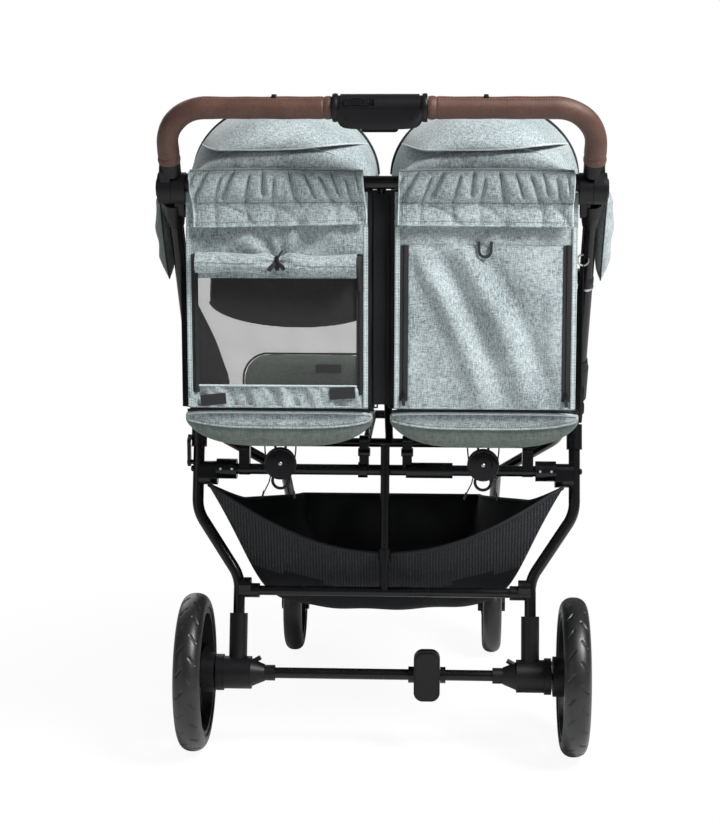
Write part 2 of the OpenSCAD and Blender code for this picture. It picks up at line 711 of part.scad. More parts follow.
module swivel_housing(side) color(dark) on_side(side) {
    difference() {
        union() {
            translate([fore_low_x, swivel_y, housing_z0]) cylinder(h = housing_h, d = 40);
            translate([fore_low_x, swivel_y, housing_z0 + housing_h]) cylinder(h = 6, d1 = 40, d2 = 26);
            rod(at(hub, fore_len - 62, fore_turn, fore_low_x), at(hub, fore_len, fore_turn, fore_low_x), leg_d + 9);
            rod(foot_line(swivel_y + 5), foot_line(swivel_y + 39), 27);
        }
        rod(at(hub, fore_len - 80, fore_turn, fore_low_x), at(hub, fore_len - 30 + gap, fore_turn, fore_low_x),
            leg_d + seat_fit);
        rod(at(hub, fore_len - 40, fore_turn, fore_low_x), at(hub, fore_len - 12 + gap, fore_turn, fore_low_x),
            leg_d - 3.5 + seat_fit);
        translate([fore_low_x, swivel_y, housing_z0 - 1]) cylinder(h = 27, d = stem_d + fit);
        bent_tube(foot_path(), 36, foot_d + seat_fit);
    }
}

foot_d = 18;
// As far forward as the lock slider reaches back
foot_front = bar_back + housing_d / 2 + slider_proud - foot_d / 2;
foot_z = front_wheel_d + 2;
foot_root = [swivel_y + 23, swivel_top[1] - 11];
// Point of the right arm at depth y
function foot_line(y) = [fore_low_x, y, mix(foot_root[1], foot_z, (y - foot_root[0]) / (foot_front - foot_root[0]))];
function foot_path() = [[-fore_low_x, foot_root[0], foot_root[1]], [-fore_low_x, foot_front, foot_z],
                        [fore_low_x, foot_front, foot_z], [fore_low_x, foot_root[0], foot_root[1]]];
module footrest() color(black) {
    bent_tube(foot_path(), 36, foot_d);
    // Ribbed foot plate between the arms
    difference() {
        translate([-fore_low_x + 4, swivel_y + 40, foot_z + 1]) cube([front_track - 8, foot_front - swivel_y - 41, 9]);
        for (i = [0:6]) translate([-fore_low_x + 22 + i * 51, swivel_y + 50, foot_z - 5])
            cube([36, foot_front - swivel_y - 66, 20]);
    }
}

// Front wheels

module on_front(side) {
    on_side(side) translate([fore_low_x, 0, 0]) children();
}
fork_in = front_tyre_w / 2 + 2.5;
fork_t = 6;
module fork(side) color(dark) on_front(side) {
    translate([0, swivel_y, crown_z]) cylinder(h = crown_t, d = 2 * fork_in + fork_t);
    translate([0, swivel_y, crown_z + crown_t - 1]) cylinder(h = 26, d = stem_d);
    for (s = [-1, 1]) {
        x0 = s > 0 ? fork_in : -fork_in - fork_t;
        plate(x0, x0 + fork_t) {
            link(front_axle, [swivel_y, crown_z - 1], 22);
            translate(front_axle) circle(15);
        }
    }
    bar_x(front_axle, -fork_in - 1, fork_in + 1, wheel_bolt_d);
}

// Tyre ring with a round crown, about the wheel's own axis
module tyre_ring(d, w, depth) {
    r = d / 2;
    rotate_extrude($fn = 96) difference() {
        union() {
            translate([r - depth, -w / 2 + 5]) square([depth - 5, w - 10]);
            translate([r - depth, -w / 2 + 9]) square([depth, w - 18]);
            translate([r - depth, -w / 2]) square([depth - 9, w]);
            for (s = [-1, 1]) translate([r - 9, s * (w / 2 - 9)]) circle(9);
        }
        // Bead groove where the rim seats
        translate([r - depth - 1, -w / 2 + 8]) square([4 + gap, w - 16]);
    }
}
// Chevron grooves round the tread
module tread(d, w, count) {
    for (i = [0:count - 1], s = [-1, 1])
        rotate([0, 0, 360 * (i + (s > 0 ? 0.5 : 0)) / count])
            translate([d / 2 - 2.2, 0, s * w * 0.27]) rotate([s * 38, 0, 0])
                translate([0, -2, -w * 0.2]) cube([6, 4, w * 0.4]);
}

module front_tyre(side) color(rubber) on_front(side) turned(front_axle)
    tyre_ring(front_wheel_d, front_tyre_w, tyre_depth - 4);
module rear_tyre(side) color(rubber) on_side(side) turned(rear_axle, rear_x) difference() {
    tyre_ring(rear_wheel_d, rear_tyre_w, tyre_depth);
    tread(rear_wheel_d, rear_tyre_w, 22);
}

// Spoked rim with a bored hub
module spoked(d, depth, w, spokes, hub_d, hub_w, bore) {
    r = d / 2 - depth;
    difference() {
        union() {
            rotate_extrude($fn = 96) {
                translate([r - 9, -w / 2 + 3]) square([9 - gap / 2, w - 6]);
                translate([r - 1, -w / 2 + 8 + gap / 2]) square([4, w - 16 - gap]);
            }
            cylinder(h = hub_w, d = hub_d, center = true);
            for (i = [0:spokes - 1]) rotate([0, 0, 360 * i / spokes]) for (s = [-1, 1])
                translate([0, s * 6, 0]) rotate([0, 0, s * 5])
                    translate([hub_d / 2 - 4, -3.5, -5]) cube([r - hub_d / 2 - 3, 7, 10]);
        }
        cylinder(h = 2 * hub_w, d = bore, center = true);
    }
}
module front_rim(side) color(dark) on_front(side) turned(front_axle)
    spoked(front_wheel_d, tyre_depth - 4, front_tyre_w, 5, 40, 2 * fork_in - 2 * gap, wheel_bolt_d + fit);

drum_x0 = rear_x - 34;
module rear_rim(side) color(dark) on_side(side) {
    turned(rear_axle, rear_x) difference() {
        union() {
            spoked(rear_wheel_d, tyre_depth, rear_tyre_w, 5, 52, 28, stub_d + fit);
            // Brake drum on the inner face
            translate([0, 0, drum_x0 - rear_x]) cylinder(h = 21, d = 66);
            translate([0, 0, 14]) cylinder(h = 6, d1 = 46, d2 = 34);
        }
        translate([0, 0, -60]) cylinder(h = 74, d = stub_d + fit);
        // Ring of holes that the brake pin drops into
        for (i = [0:7]) rotate([0, 0, 45 * i]) translate([brake_r, 0, drum_x0 - rear_x - 1])
            cylinder(h = 13, d = brake_pin_d + 1.2);
    }
}
brake_r = 23;
brake_turn = 90;
brake_travel = 7;

// Rear legs

function leg_path(low) = [at(hub, 16, leg_turn, leg_x), at(hub, bend_top, leg_turn, leg_x),
                          at(hub, bend_low, leg_turn, leg_low_x), at(hub, low, leg_turn, leg_low_x)];
leg_end = norm(rear_axle - hub) - 62;
module rear_leg(side) color(black) on_side(side) {
    difference() {
        union() {
            bar_x(hub, tang_x0, tang_x1, 2 * hub_r - 4);
            plate(tang_x0, tang_x1) link(hub, hub + 34 * [cos(leg_turn), sin(leg_turn)], 24);
            rod(at(hub, hub_r + 3, leg_turn, leg_x), at(hub, 70, leg_turn, leg_x), leg_d + 7);
            bent_tube([at(hub, 40, leg_turn, leg_x), leg_path(leg_end)[1], leg_path(leg_end)[2],
                       leg_path(leg_end)[3]], 64, leg_d);
        }
        bar_x(hub, tang_x0 - 1, tang_x1 + 1, pin_d + fit);
    }
    // Post of the storage hook on the left leg's outer face
    if (side < 0) bar_x(latch_at, leg_x + leg_d / 2 - 1, leg_x + leg_d / 2 + 10, 8);
}
latch_at = hub + 96 * [cos(leg_turn), sin(leg_turn)];
latch_x0 = leg_x + leg_d / 2 + 4;

module storage_latch() color(dark) on_side(-1) difference() {
    plate(latch_x0, latch_x0 + 5) difference() {
        union() {
            link(latch_at, latch_at + [0, 34], 15);
            link(latch_at + [0, 34], latch_at + [9, 40], 11);
        }
        translate(latch_at + [9, 31]) circle(5.4);
    }
    bar_x(latch_at, latch_x0 - 1, latch_x0 + 6, 8 + fit);
}

cross = hub + cross_at * [cos(leg_turn), sin(leg_turn)];
module rear_crossbar() color(black) difference() {
    union() {
        bar_x(cross, -leg_x + 20, leg_x - 20, cross_d);
        // Thicker sleeves, clamshell end brackets and the cradles under each seat
        bar_x(cross, 34, 112, cross_d + 8);
        bar_x(cross, -46, -30, cross_d + 8);
        for (side = [-1, 1]) on_side(side) {
            bar_x(cross, 250, 284, cross_d + 16);
            plate(282, leg_x - 1.5)
                link(cross, cross + 14 * [cos(leg_turn), sin(leg_turn)], cross_d + 8);
            plate(28, 44) link(cross + [0, 4], cross + [4, 50], 16);
            plate(26, 46) link(cross + [-3, 30], cross + [9, 30], 12);
            plate(228, 246) link(cross, cross + [4, 34], 20);
        }
    }
    for (side = [-1, 1]) on_side(side) bent_tube(leg_path(leg_end), 64, leg_d + seat_fit);
}

basket_bar = hub + basket_bar_at * [cos(leg_turn), sin(leg_turn)];
basket_bar_end = leg_low_x - leg_d / 2 - gap;
post_top = cross + [-24, 48];
collar_d = post_d + 5;
basket_rim = 410;
hem_dip = 88;
hem_low = basket_rim - hem_dip;
function post_at(z) = mix(basket_bar, post_top, (z - basket_bar[1]) / (post_top[1] - basket_bar[1]));
module basket_frame() color(black) difference() {
    union() {
        bar_x(basket_bar, -basket_bar_end, basket_bar_end, basket_bar_d);
        for (side = [-1, 1]) on_side(side) {
            bar_x(basket_bar, leg_low_x - 34, leg_low_x - 20, basket_bar_d + 8);
            plate(leg_low_x - 20, leg_low_x) link(basket_bar, basket_bar + [0, 10], basket_bar_d + 8);
        }
        // Centre post behind the rear crossbar, with the collar that the basket's hem hangs on
        rod([0, basket_bar[0], basket_bar[1]], [0, post_top[0], post_top[1]], post_d);
        rod(concat(0, post_at(hem_low - 9)), concat(0, post_at(hem_low + 9)), collar_d);
    }
    for (side = [-1, 1]) on_side(side) bent_tube(leg_path(leg_end), 64, leg_d + seat_fit);
}

module axle_tube() color(black) {
    bar_x(rear_axle, -axle_len / 2 - 24, axle_len / 2 + 24, axle_d);
    // Collars on both sides of the pedal
    for (x = [pedal_x - pedal_w / 2 - gap - 9, pedal_x + pedal_w / 2 + gap]) bar_x(rear_axle, x, x + 9, axle_d + 9);
}

module axle_bracket(side) color(dark) on_side(side) {
    end = axle_len / 2;
    cone_x0 = leg_low_x - 45;
    socket_x0 = min(end, cone_x0 - 1);
    body_x1 = drum_x0 - 3;
    difference() {
        union() {
            bar_x(rear_axle, leg_low_x - 23, leg_low_x + 23, 54);
            turned(rear_axle, cone_x0) cylinder(h = 22, d1 = 28, d2 = 46);
            bar_x(rear_axle, socket_x0, cone_x0, axle_d + 8);
            bar_x(rear_axle, leg_low_x + 23, body_x1, 60);
            rod([leg_low_x, rear_axle[0], rear_axle[1]], at(hub, leg_end - 36, leg_turn, leg_low_x), 30);
            // Wheel stub
            bar_x(rear_axle, body_x1, rear_x + 13, stub_d);
        }
        bent_tube(leg_path(leg_end + gap), 64, leg_d + seat_fit);
        bar_x(rear_axle, socket_x0 - 1, end + 24 + gap, axle_d + seat_fit);
        bar_x(rear_axle + brake_r * [cos(brake_turn), sin(brake_turn)], leg_low_x - 6, body_x1 + 1,
              brake_pin_d + fit);
    }
    // Cable stop on the inner shoulder
    rod([leg_low_x - 24, rear_axle[0], rear_axle[1] + 18], [leg_low_x - 38, rear_axle[0], rear_axle[1] + 26], 8);
}

module brake_pin(side) color("silver") on_side(side)
    bar_x(rear_axle + brake_r * [cos(brake_turn), sin(brake_turn)], leg_low_x + 4, drum_x0 - 1.5, brake_pin_d);

pedal_x = 72;
pedal_w = 43;
module brake_pedal() color(dark) difference() {
    union() {
        bar_x(rear_axle, pedal_x - pedal_w / 2, pedal_x + pedal_w / 2, axle_d + 18);
        // Rocker pad with round ends, proud behind the axle
        translate([pedal_x, rear_axle[0] - 12, rear_axle[1] + 5]) rotate([90, 0, 0]) linear_extrude(13)
            rounded(pedal_w, 86, 15);
        translate([pedal_x, rear_axle[0] - 24, rear_axle[1] + 5]) rotate([90, 0, 0]) linear_extrude(4)
            rounded(pedal_w - 8, 78, 13);
    }
    bar_x(rear_axle, pedal_x - pedal_w, pedal_x + pedal_w, axle_d + fit);
}

// Basket under the seats: an open tub between the rear bars and the front legs
module basket() {
    wall = 3;
    post_lean = atan2(post_top[0] - basket_bar[0], post_top[1] - basket_bar[1]);
    y0 = post_at(hem_low)[0] + collar_d / 2 / cos(post_lean) + gap;
    y1 = 185;
    front_rim = 342;
    rear_w = 258;
    nose_w = 168;
    floor_low = 207;
    round_in = 0.1;
    // Along both directions, close together where the walls rise
    stops = [-1, -0.975, -0.93, -0.86, -0.72, -0.5, -0.25, 0, 0.25, 0.5, 0.72, 0.86, 0.93, 0.975, 1];
    n = len(stops) - 1;
    function rim_z(a, b) = mix(basket_rim, front_rim, (b + 1) / 2) - hem_dip * (1 - a * a) * ease(-b);
    function floor_z(a, b) = floor_low + 22 * a * a + 16 * b * b;
    function rim_w(b) = mix(rear_w, nose_w, ease((b + 1) * 0.55));
    // Point of the outer face for a from left to right and b from back to front
    function skin(a, b) = [
        rim_w(b) * a * (1 - round_in * pow(b, 6)),
        mix(y0, y1, (b * (1 - round_in * pow(a, 6) * (1 - b) / 2) + 1) / 2),
        mix(floor_z(a, b), rim_z(a, b), pow(max(abs(a), abs(b)), 9))];
    function inward(a, b) = unit(cross(skin(a + 0.01, b) - skin(a - 0.01, b), skin(a, b + 0.01) - skin(a, b - 0.01)));
    outer = [for (b = stops) [for (a = stops) skin(a, b)]];
    inner = [for (b = stops) [for (a = stops) skin(a, b) + wall * inward(a * 0.985, b * 0.985)]];
    color(mesh_cloth) slab(inner, outer);
}

side_tube(-1);  // side_tube_left
side_tube(1);  // side_tube_right
fold_hub(-1);  // fold_hub_left
fold_hub(1);  // fold_hub_right
top_crossbar();
hinge_lower(-1);  // hinge_lower_left
hinge_lower(1);  // hinge_lower_right
seat_base();
seat_pad(-1);  // seat_pad_left
seat_pad(1);  // seat_pad_right
rear_panel_left();
rear_panel_right();
sleeve(-1);  // sleeve_left
sleeve(1);  // sleeve_right
canopy_rear(-1);  // canopy_rear_left
canopy_rear(1);  // canopy_rear_right
canopy_front(-1);  // canopy_front_left
canopy_front(1);  // canopy_front_right
backrest_frame(-1);  // backrest_frame_left
backrest_frame(1);  // backrest_frame_right
backrest_pad(-1);  // backrest_pad_left
backrest_pad(1);  // backrest_pad_right
recline_disc(-1);  // recline_disc_left
recline_disc(1);  // recline_disc_right
leg_rest(-1);  // leg_rest_left
leg_rest(1);  // leg_rest_right
handlebar();
grips();
fold_housing();
fold_trigger();
lock_slider();
hinge_upper(-1);  // hinge_upper_left
hinge_upper(1);  // hinge_upper_right
front_leg(-1);  // front_leg_left
front_leg(1);  // front_leg_right
swivel_housing(-1);  // swivel_housing_left
swivel_housing(1);  // swivel_housing_right
footrest();
fork(-1);  // fork_left
fork(1);  // fork_right
front_tyre(-1);  // front_tyre_left
front_tyre(1);  // front_tyre_right
front_rim(-1);  // front_rim_left
front_rim(1);  // front_rim_right
rear_leg(-1);  // rear_leg_left
rear_leg(1);  // rear_leg_right
storage_latch();
rear_crossbar();
basket_frame();
axle_tube();
axle_bracket(-1);  // axle_bracket_left
axle_bracket(1);  // axle_bracket_right
brake_pin(-1);  // brake_pin_left
brake_pin(1);  // brake_pin_right
brake_pedal();
rear_tyre(-1);  // rear_tyre_left
rear_tyre(1);  // rear_tyre_right
rear_rim(-1);  // rear_rim_left
rear_rim(1);  // rear_rim_right
basket();
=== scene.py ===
"""Side by side double stroller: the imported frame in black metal, dressed in cloth and leather."""

import math

import bpy
import numpy as np
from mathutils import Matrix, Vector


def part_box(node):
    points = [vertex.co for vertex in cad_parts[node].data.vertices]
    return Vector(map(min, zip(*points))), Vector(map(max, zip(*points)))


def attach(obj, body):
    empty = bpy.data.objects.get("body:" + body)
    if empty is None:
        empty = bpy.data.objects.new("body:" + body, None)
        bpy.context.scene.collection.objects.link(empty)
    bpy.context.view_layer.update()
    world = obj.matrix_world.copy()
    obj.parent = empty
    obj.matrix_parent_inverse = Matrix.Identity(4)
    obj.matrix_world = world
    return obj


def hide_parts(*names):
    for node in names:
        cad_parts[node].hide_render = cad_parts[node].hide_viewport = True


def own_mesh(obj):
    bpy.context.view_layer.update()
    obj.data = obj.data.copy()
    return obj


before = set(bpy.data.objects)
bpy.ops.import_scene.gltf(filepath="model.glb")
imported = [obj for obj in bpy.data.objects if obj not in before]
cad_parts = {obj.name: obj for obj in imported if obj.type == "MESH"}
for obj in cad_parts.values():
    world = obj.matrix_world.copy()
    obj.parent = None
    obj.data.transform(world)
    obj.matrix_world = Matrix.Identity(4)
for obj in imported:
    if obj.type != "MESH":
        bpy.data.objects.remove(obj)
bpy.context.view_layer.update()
scene = bpy.context.scene

# Places and sizes in millimetres, as the solids have them. A pair is a place in side view, (y, z).
SIDES = {"left": -1, "right": 1}
SEAT_X = 158.5
HUB = np.array([-130.0, 560.0])
HINGE = np.array([-385.0, 935.0])
BAR = np.array([-455.0, 1055.0])
SIDE_X = 318.0
BAR_BEND = 62.0
GRIP_R = 17.0
HOUSING_HALF = 70.0
PIVOT = np.array([-215.0, 790.0])
HOOD_R, HOOD_RIM, HOOD_W = 272.0, 154.0, 146.5
FRONT_R, FRONT_RIM, FRONT_W = 268.9, 142.0, 143.4
HOOD_SPLIT, HOOD_REAR, HOOD_FRONT = 42.0, 129.0, -25.0
BAND_LOW = 962.0
PANEL_W = 138.0
PANEL_LOW = 600.0
PANEL_TOP = 930.0
PANEL_FACE = -391.0
WINDOW_W, WINDOW_LOW, WINDOW_TOP = 122.0, 633.0, 799.0
ROLL_Y = -409.5
TIE_X = 2.4 - SEAT_X
HIP = np.array([30.0, 500.0])
BACK_RISE = math.radians(10.0)
CROSS = np.array([-158.8, 456.9])
DISC = np.array([-359.0, 505.6])
CALF = np.array([285.0, 478.0])


# Light, floor and camera

def linear(code):
    """Linear colour of an sRGB hex code: each channel over 12.92 when dark, else to the power 2.4."""
    srgb = np.array([int(code[i:i + 2], 16) for i in (1, 3, 5)]) / 255
    return (*np.where(srgb <= 0.04045, srgb / 12.92, ((srgb + 0.055) / 1.055) ** 2.4), 1.0)


def add(tree, kind, feeds=None, **settings):
    """Adds a node, sets its properties, and gives its inputs plain values or other nodes' outputs."""
    made = tree.nodes.new(kind)
    for key, value in settings.items():
        setattr(made, key, value)
    for key, value in (feeds or {}).items():
        if isinstance(value, bpy.types.NodeSocket):
            tree.links.new(value, made.inputs[key])
        else:
            made.inputs[key].default_value = value
    return made


# Lamps: place, the point each is aimed at, width in metres, and power in watts
LAMPS = [
    ("key lamp", (1.8, -1.6, 3.0), (0, -0.2, 0.7), 1.1, 182),
    ("fill lamp", (-2.6, -2.6, 1.4), (0, -0.1, 0.6), 2.0, 10),
    ("front lamp", (-1.6, 3.0, 2.2), (0, 0.1, 0.6), 2.4, 45),
]


def studio():
    """White studio: an even white surround, one soft lamp above right, a weak fill on the left, a soft lamp
    in front, and a pale floor that turns white away from the middle."""
    scene.view_settings.view_transform = "Standard"
    world = bpy.data.worlds.new("studio surround")
    scene.world = world
    world.use_nodes = True
    tree = world.node_tree
    tree.nodes.clear()
    ray = add(tree, "ShaderNodeLightPath")
    seen = add(tree, "ShaderNodeMath",
               {0: ray.outputs["Is Camera Ray"], 1: ray.outputs["Is Transmission Ray"]}, operation="MAXIMUM")
    light = add(tree, "ShaderNodeBackground", {"Color": linear("#F4F7FA"), "Strength": 0.24})
    white = add(tree, "ShaderNodeBackground", {"Color": (1, 1, 1, 1), "Strength": 1.0})
    both = add(tree, "ShaderNodeMixShader", {0: seen.outputs[0], 1: light.outputs[0], 2: white.outputs[0]})
    add(tree, "ShaderNodeOutputWorld", {"Surface": both.outputs[0]})
    for name, place, aim, size, power in LAMPS:
        data = bpy.data.lights.new(name, "AREA")
        data.size = size
        data.energy = power
        lamp = bpy.data.objects.new(name, data)
        scene.collection.objects.link(lamp)
        lamp.location = place
        look = np.array(aim) - np.array(place)
        lamp.rotation_euler = (math.acos(-look[2] / np.linalg.norm(look)), 0,
                               math.atan2(look[1], look[0]) - math.pi / 2)
    floor_mat = bpy.data.materials.new("white paper floor")
    floor_mat.use_nodes = True
    tree = floor_mat.node_tree
    tree.nodes.clear()
    ray = add(tree, "ShaderNodeLightPath")
    paper = add(tree, "ShaderNodeBsdfDiffuse", {"Color": linear("#F6F6F6")})
    white = add(tree, "ShaderNodeEmission", {"Color": (1, 1, 1, 1), "Strength": 1.0})
    where = add(tree, "ShaderNodeTexCoord").outputs["Object"]
    away = add(tree, "ShaderNodeVectorMath", {0: where}, operation="LENGTH")
    fade = add(tree, "ShaderNodeMapRange",
               {"Value": away.outputs["Value"], "From Min": 0.4, "From Max": 1.1,
                "To Min": 0.93, "To Max": 1.0})
    seen = add(tree, "ShaderNodeMath", {0: ray.outputs["Is Camera Ray"], 1: fade.outputs[0]},
               operation="MULTIPLY")
    both = add(tree, "ShaderNodeMixShader", {0: seen.outputs[0], 1: paper.outputs[0], 2: white.outputs[0]})
    add(tree, "ShaderNodeOutputMaterial", {"Surface": both.outputs[0]})
    data = bpy.data.meshes.new("floor")
    far = 30.0
    data.from_pydata([(-far, -far, 0), (far, -far, 0), (far, far, 0), (-far, far, 0)], [], [(0, 1, 2, 3)])
    data.materials.append(floor_mat)
    floor = bpy.data.objects.new("floor", data)
    scene.collection.objects.link(floor)
    floor.location.z = -0.0005
    lens = bpy.data.cameras.new("camera")
    lens.lens = 79.56
    lens.sensor_width = 36.0
    camera = bpy.data.objects.new("camera", lens)
    scene.collection.objects.link(camera)
    camera.location = (0.0965, -3.15, 1.0469)
    camera.rotation_euler = (math.radians(90 - 9.31), 0, math.radians(2.67))
    scene.camera = camera


studio()


# Finishes

def finish(name, **sockets):
    """A new material with its shader's plain values set, its nodes, and its Object coordinates."""
    made = bpy.data.materials.new(name)
    made.use_nodes = True
    shader = made.node_tree.nodes["Principled BSDF"]
    for key, value in sockets.items():
        shader.inputs[key.replace("_", " ")].default_value = value
    return made, made.node_tree, add(made.node_tree, "ShaderNodeTexCoord").outputs["Object"]


def wired(made, **outputs):
    """The material, with outputs of its nodes linked to its principled shader."""
    shader = made.node_tree.nodes["Principled BSDF"]
    for key, output in outputs.items():
        made.node_tree.links.new(output, shader.inputs[key.replace("_", " ")])
    return made


def per_mm(*sizes):
    """Mapping scale that makes one unit of a pattern as long as the given sizes in millimetres."""
    return tuple(1000.0 / size for size in sizes)


def melange(name, deep, pale, thread=2.0, contrast=1.0, sheen=0.2):
    """Heathered polyester plain weave: warp and weft threads of two tones cross, so pale and deep streaks
    run both ways. Real threads are 0.4 mm apart; they are drawn over 1 mm wide to show at this distance."""
    made, tree, where = finish(name, Roughness=0.92, Sheen_Weight=sheen, Sheen_Roughness=0.5,
                               Specular_IOR_Level=0.2)
    streaks = []
    for scale in (per_mm(thread, thread * 3, thread * 6), per_mm(thread * 6, thread, thread)):
        run = add(tree, "ShaderNodeMapping", {"Vector": where, "Scale": scale})
        streaks.append(add(tree, "ShaderNodeTexNoise",
                           {"Vector": run.outputs[0], "Scale": 1.0, "Detail": 2.0}))
    cross = add(tree, "ShaderNodeMath", {0: streaks[0].outputs["Fac"], 1: streaks[1].outputs["Fac"]})
    cloud = add(tree, "ShaderNodeTexNoise", {"Vector": where, "Scale": 1000 / 70, "Detail": 1.0})
    tone = add(tree, "ShaderNodeMath", {0: cloud.outputs["Fac"], 1: 0.35, 2: cross.outputs[0]},
               operation="MULTIPLY_ADD")
    reach = 0.34 / contrast
    share = add(tree, "ShaderNodeMapRange",
                {"Value": tone.outputs[0], "From Min": 1.175 - reach, "From Max": 1.175 + reach})
    colour = add(tree, "ShaderNodeMix", {0: share.outputs[0], 6: linear(deep), 7: linear(pale)},
                 data_type="RGBA")
    relief = add(tree, "ShaderNodeBump", {"Height": cross.outputs[0], "Strength": 0.35, "Distance": 0.0006})
    return wired(made, Base_Color=colour.outputs[2], Normal=relief.outputs[0])


def plain_black(name, deep, pale, grain, rough, relief=0.2, shine=0.5):
    """Black finish with grain of a given size: noise between two near blacks, the same noise in relief, and
    a roughness that varies a tenth with a larger cloud, as handling leaves it."""
    made, tree, where = finish(name, Specular_IOR_Level=shine)
    fine = add(tree, "ShaderNodeTexNoise", {"Vector": where, "Scale": 1000 / grain, "Detail": 3.0})
    cloud = add(tree, "ShaderNodeTexNoise", {"Vector": where, "Scale": 1000 / 60, "Detail": 2.0})
    colour = add(tree, "ShaderNodeMix", {0: fine.outputs["Fac"], 6: linear(deep), 7: linear(pale)},
                 data_type="RGBA")
    gloss = add(tree, "ShaderNodeMapRange",
                {"Value": cloud.outputs["Fac"], "From Min": 0.3, "From Max": 0.7,
                 "To Min": rough - 0.05, "To Max": rough + 0.05})
    bump = add(tree, "ShaderNodeBump",
               {"Height": fine.outputs["Fac"], "Strength": relief, "Distance": 0.0004})
    return wired(made, Base_Color=colour.outputs[2], Roughness=gloss.outputs[0], Normal=bump.outputs[0])


def knitted_net(name, deep, pale):
    """Black net backed with cloth: ribs 5 mm apart that run up and down and waver, with holes 2.5 mm apart
    between them. The ribs are painted paler, a painted highlight along their ridges, and stand out."""
    made, tree, where = finish(name, Roughness=0.7, Specular_IOR_Level=0.35)
    ribs = add(tree, "ShaderNodeTexWave",
               {"Vector": where, "Scale": 1000 / 5 / 3.2, "Distortion": 1.2,
                "Detail": 1.0, "Detail Scale": 0.4}, bands_direction="X")
    holes = add(tree, "ShaderNodeTexVoronoi", {"Vector": where, "Scale": 1000 / 2.5})
    share = add(tree, "ShaderNodeMath", {0: ribs.outputs["Fac"], 1: holes.outputs["Distance"]},
                operation="MULTIPLY")
    colour = add(tree, "ShaderNodeMix", {0: share.outputs[0], 6: linear(deep), 7: linear(pale)},
                 data_type="RGBA")
    bump = add(tree, "ShaderNodeBump", {"Height": ribs.outputs["Fac"], "Strength": 0.6, "Distance": 0.0015})
    return wired(made, Base_Color=colour.outputs[2], Normal=bump.outputs[0])


def grained_leather(name, deep, pale):
    """Brown PU leather, embossed: pebbles of about 1.6 mm parted by fine creases, darker in the creases as
    painted shade, and worn a little paler in broad patches."""
    made, tree, where = finish(name, Roughness=0.5, Specular_IOR_Level=0.4, Sheen_Weight=0.05)
    pebbles = add(tree, "ShaderNodeTexVoronoi", {"Vector": where, "Scale": 1000 / 1.6},
                  feature="DISTANCE_TO_EDGE")
    cloud = add(tree, "ShaderNodeTexNoise", {"Vector": where, "Scale": 1000 / 30, "Detail": 3.0})
    crease = add(tree, "ShaderNodeMapRange", {"Value": pebbles.outputs["Distance"], "From Max": 0.25})
    share = add(tree, "ShaderNodeMath", {0: crease.outputs[0], 1: cloud.outputs["Fac"]},
                operation="MULTIPLY")
    colour = add(tree, "ShaderNodeMix", {0: share.outputs[0], 6: linear(deep), 7: linear(pale)},
                 data_type="RGBA")
    bump = add(tree, "ShaderNodeBump", {"Height": crease.outputs[0], "Strength": 0.35, "Distance": 0.0004})
    return wired(made, Base_Color=colour.outputs[2], Normal=bump.outputs[0])


# Sage polyester of the canopies, panels and pads, a darker copy of it as painted shade on undersides and on
# the left wing, the coated cloth of the leg rests, and pale binding: soft, with streaks both ways
SAGE = melange("sage heathered polyester", "#5A6567", "#B4BEBF", thread=1.3, contrast=1.1)
# The darker sage is painted shade: on undersides, the flap's underside, the end rolls' undersides and the
# left wing
SHADED_SAGE = melange("grey green lining polyester", "#4A524E", "#69726D", contrast=0.9)
LEG_LINING = melange("grey green coated polyester", "#5A655E", "#7F8B83", contrast=0.8)
BINDING = melange("pale grey woven binding", "#96A1A2", "#C9D2D3", thread=1.5, contrast=0.9)
# Black cloth of the basket and the canopies' insides, the window's grey net, the basket's net, and webbing
BLACK_CLOTH = plain_black("black plain weave polyester", "#090A0B", "#1B1C1F", 1.6, 0.9, relief=0.5,
                          shine=0.25)
NET_YARN = melange("grey mesh yarn", "#353434", "#504E4E", thread=1.0, contrast=0.5, sheen=0.0)
# The basket's net: its paler ribs are painted highlights
BLACK_NET = knitted_net("black knitted net", "#050506", "#3A3D42")
BLACK_TAPE = plain_black("black zip tape and webbing", "#0F0F11", "#27282B", 1.2, 0.85, relief=0.5)
# Pebbled leather of the grips, with a soft shine, and sewing threads
LEATHER = grained_leather("brown embossed PU leather", "#3C231D", "#74503F")
THREAD = melange("grey sewing thread", "#4E5857", "#76827F", thread=0.8, contrast=0.5)
BROWN_THREAD = melange("brown sewing thread", "#7C5A4E", "#A07C6E", thread=0.8, contrast=0.5)
# Powder coated aluminium tube: black, even, with a soft sheen that shows long pale highlights
TUBE = plain_black("black powder coated aluminium", "#060607", "#0E0E10", 0.7, 0.26, relief=0.05,
                   shine=0.28)
# Moulded parts, tyres and zip coils: dull blacks that differ in grain and shine
PLASTIC = plain_black("black moulded glass filled nylon", "#08080A", "#121214", 0.9, 0.42, relief=0.25,
                      shine=0.24)
RUBBER = plain_black("black EVA tyre rubber", "#0C0C0D", "#181819", 1.4, 0.42, relief=0.3, shine=0.5)
NYLON = plain_black("black nylon coil", "#08080A", "#17181A", 0.8, 0.4, relief=0.1)


def bright_steel():
    """Zinc plated steel wire and pins: pale metal with fine drawn lines along X, a little dulled."""
    made, tree, where = finish("zinc plated steel", Metallic=1.0)
    run = add(tree, "ShaderNodeMapping", {"Vector": where, "Scale": per_mm(20, 0.8, 0.8)})
    lines = add(tree, "ShaderNodeTexNoise", {"Vector": run.outputs[0], "Scale": 1.0, "Detail": 2.0})
    colour = add(tree, "ShaderNodeMix",
                 {0: lines.outputs["Fac"], 6: linear("#8E9093"), 7: linear("#C4C6C8")}, data_type="RGBA")
    gloss = add(tree, "ShaderNodeMapRange", {"Value": lines.outputs["Fac"], "To Min": 0.25, "To Max": 0.45})
    return wired(made, Base_Color=colour.outputs[2], Roughness=gloss.outputs[0])


STEEL = bright_steel()

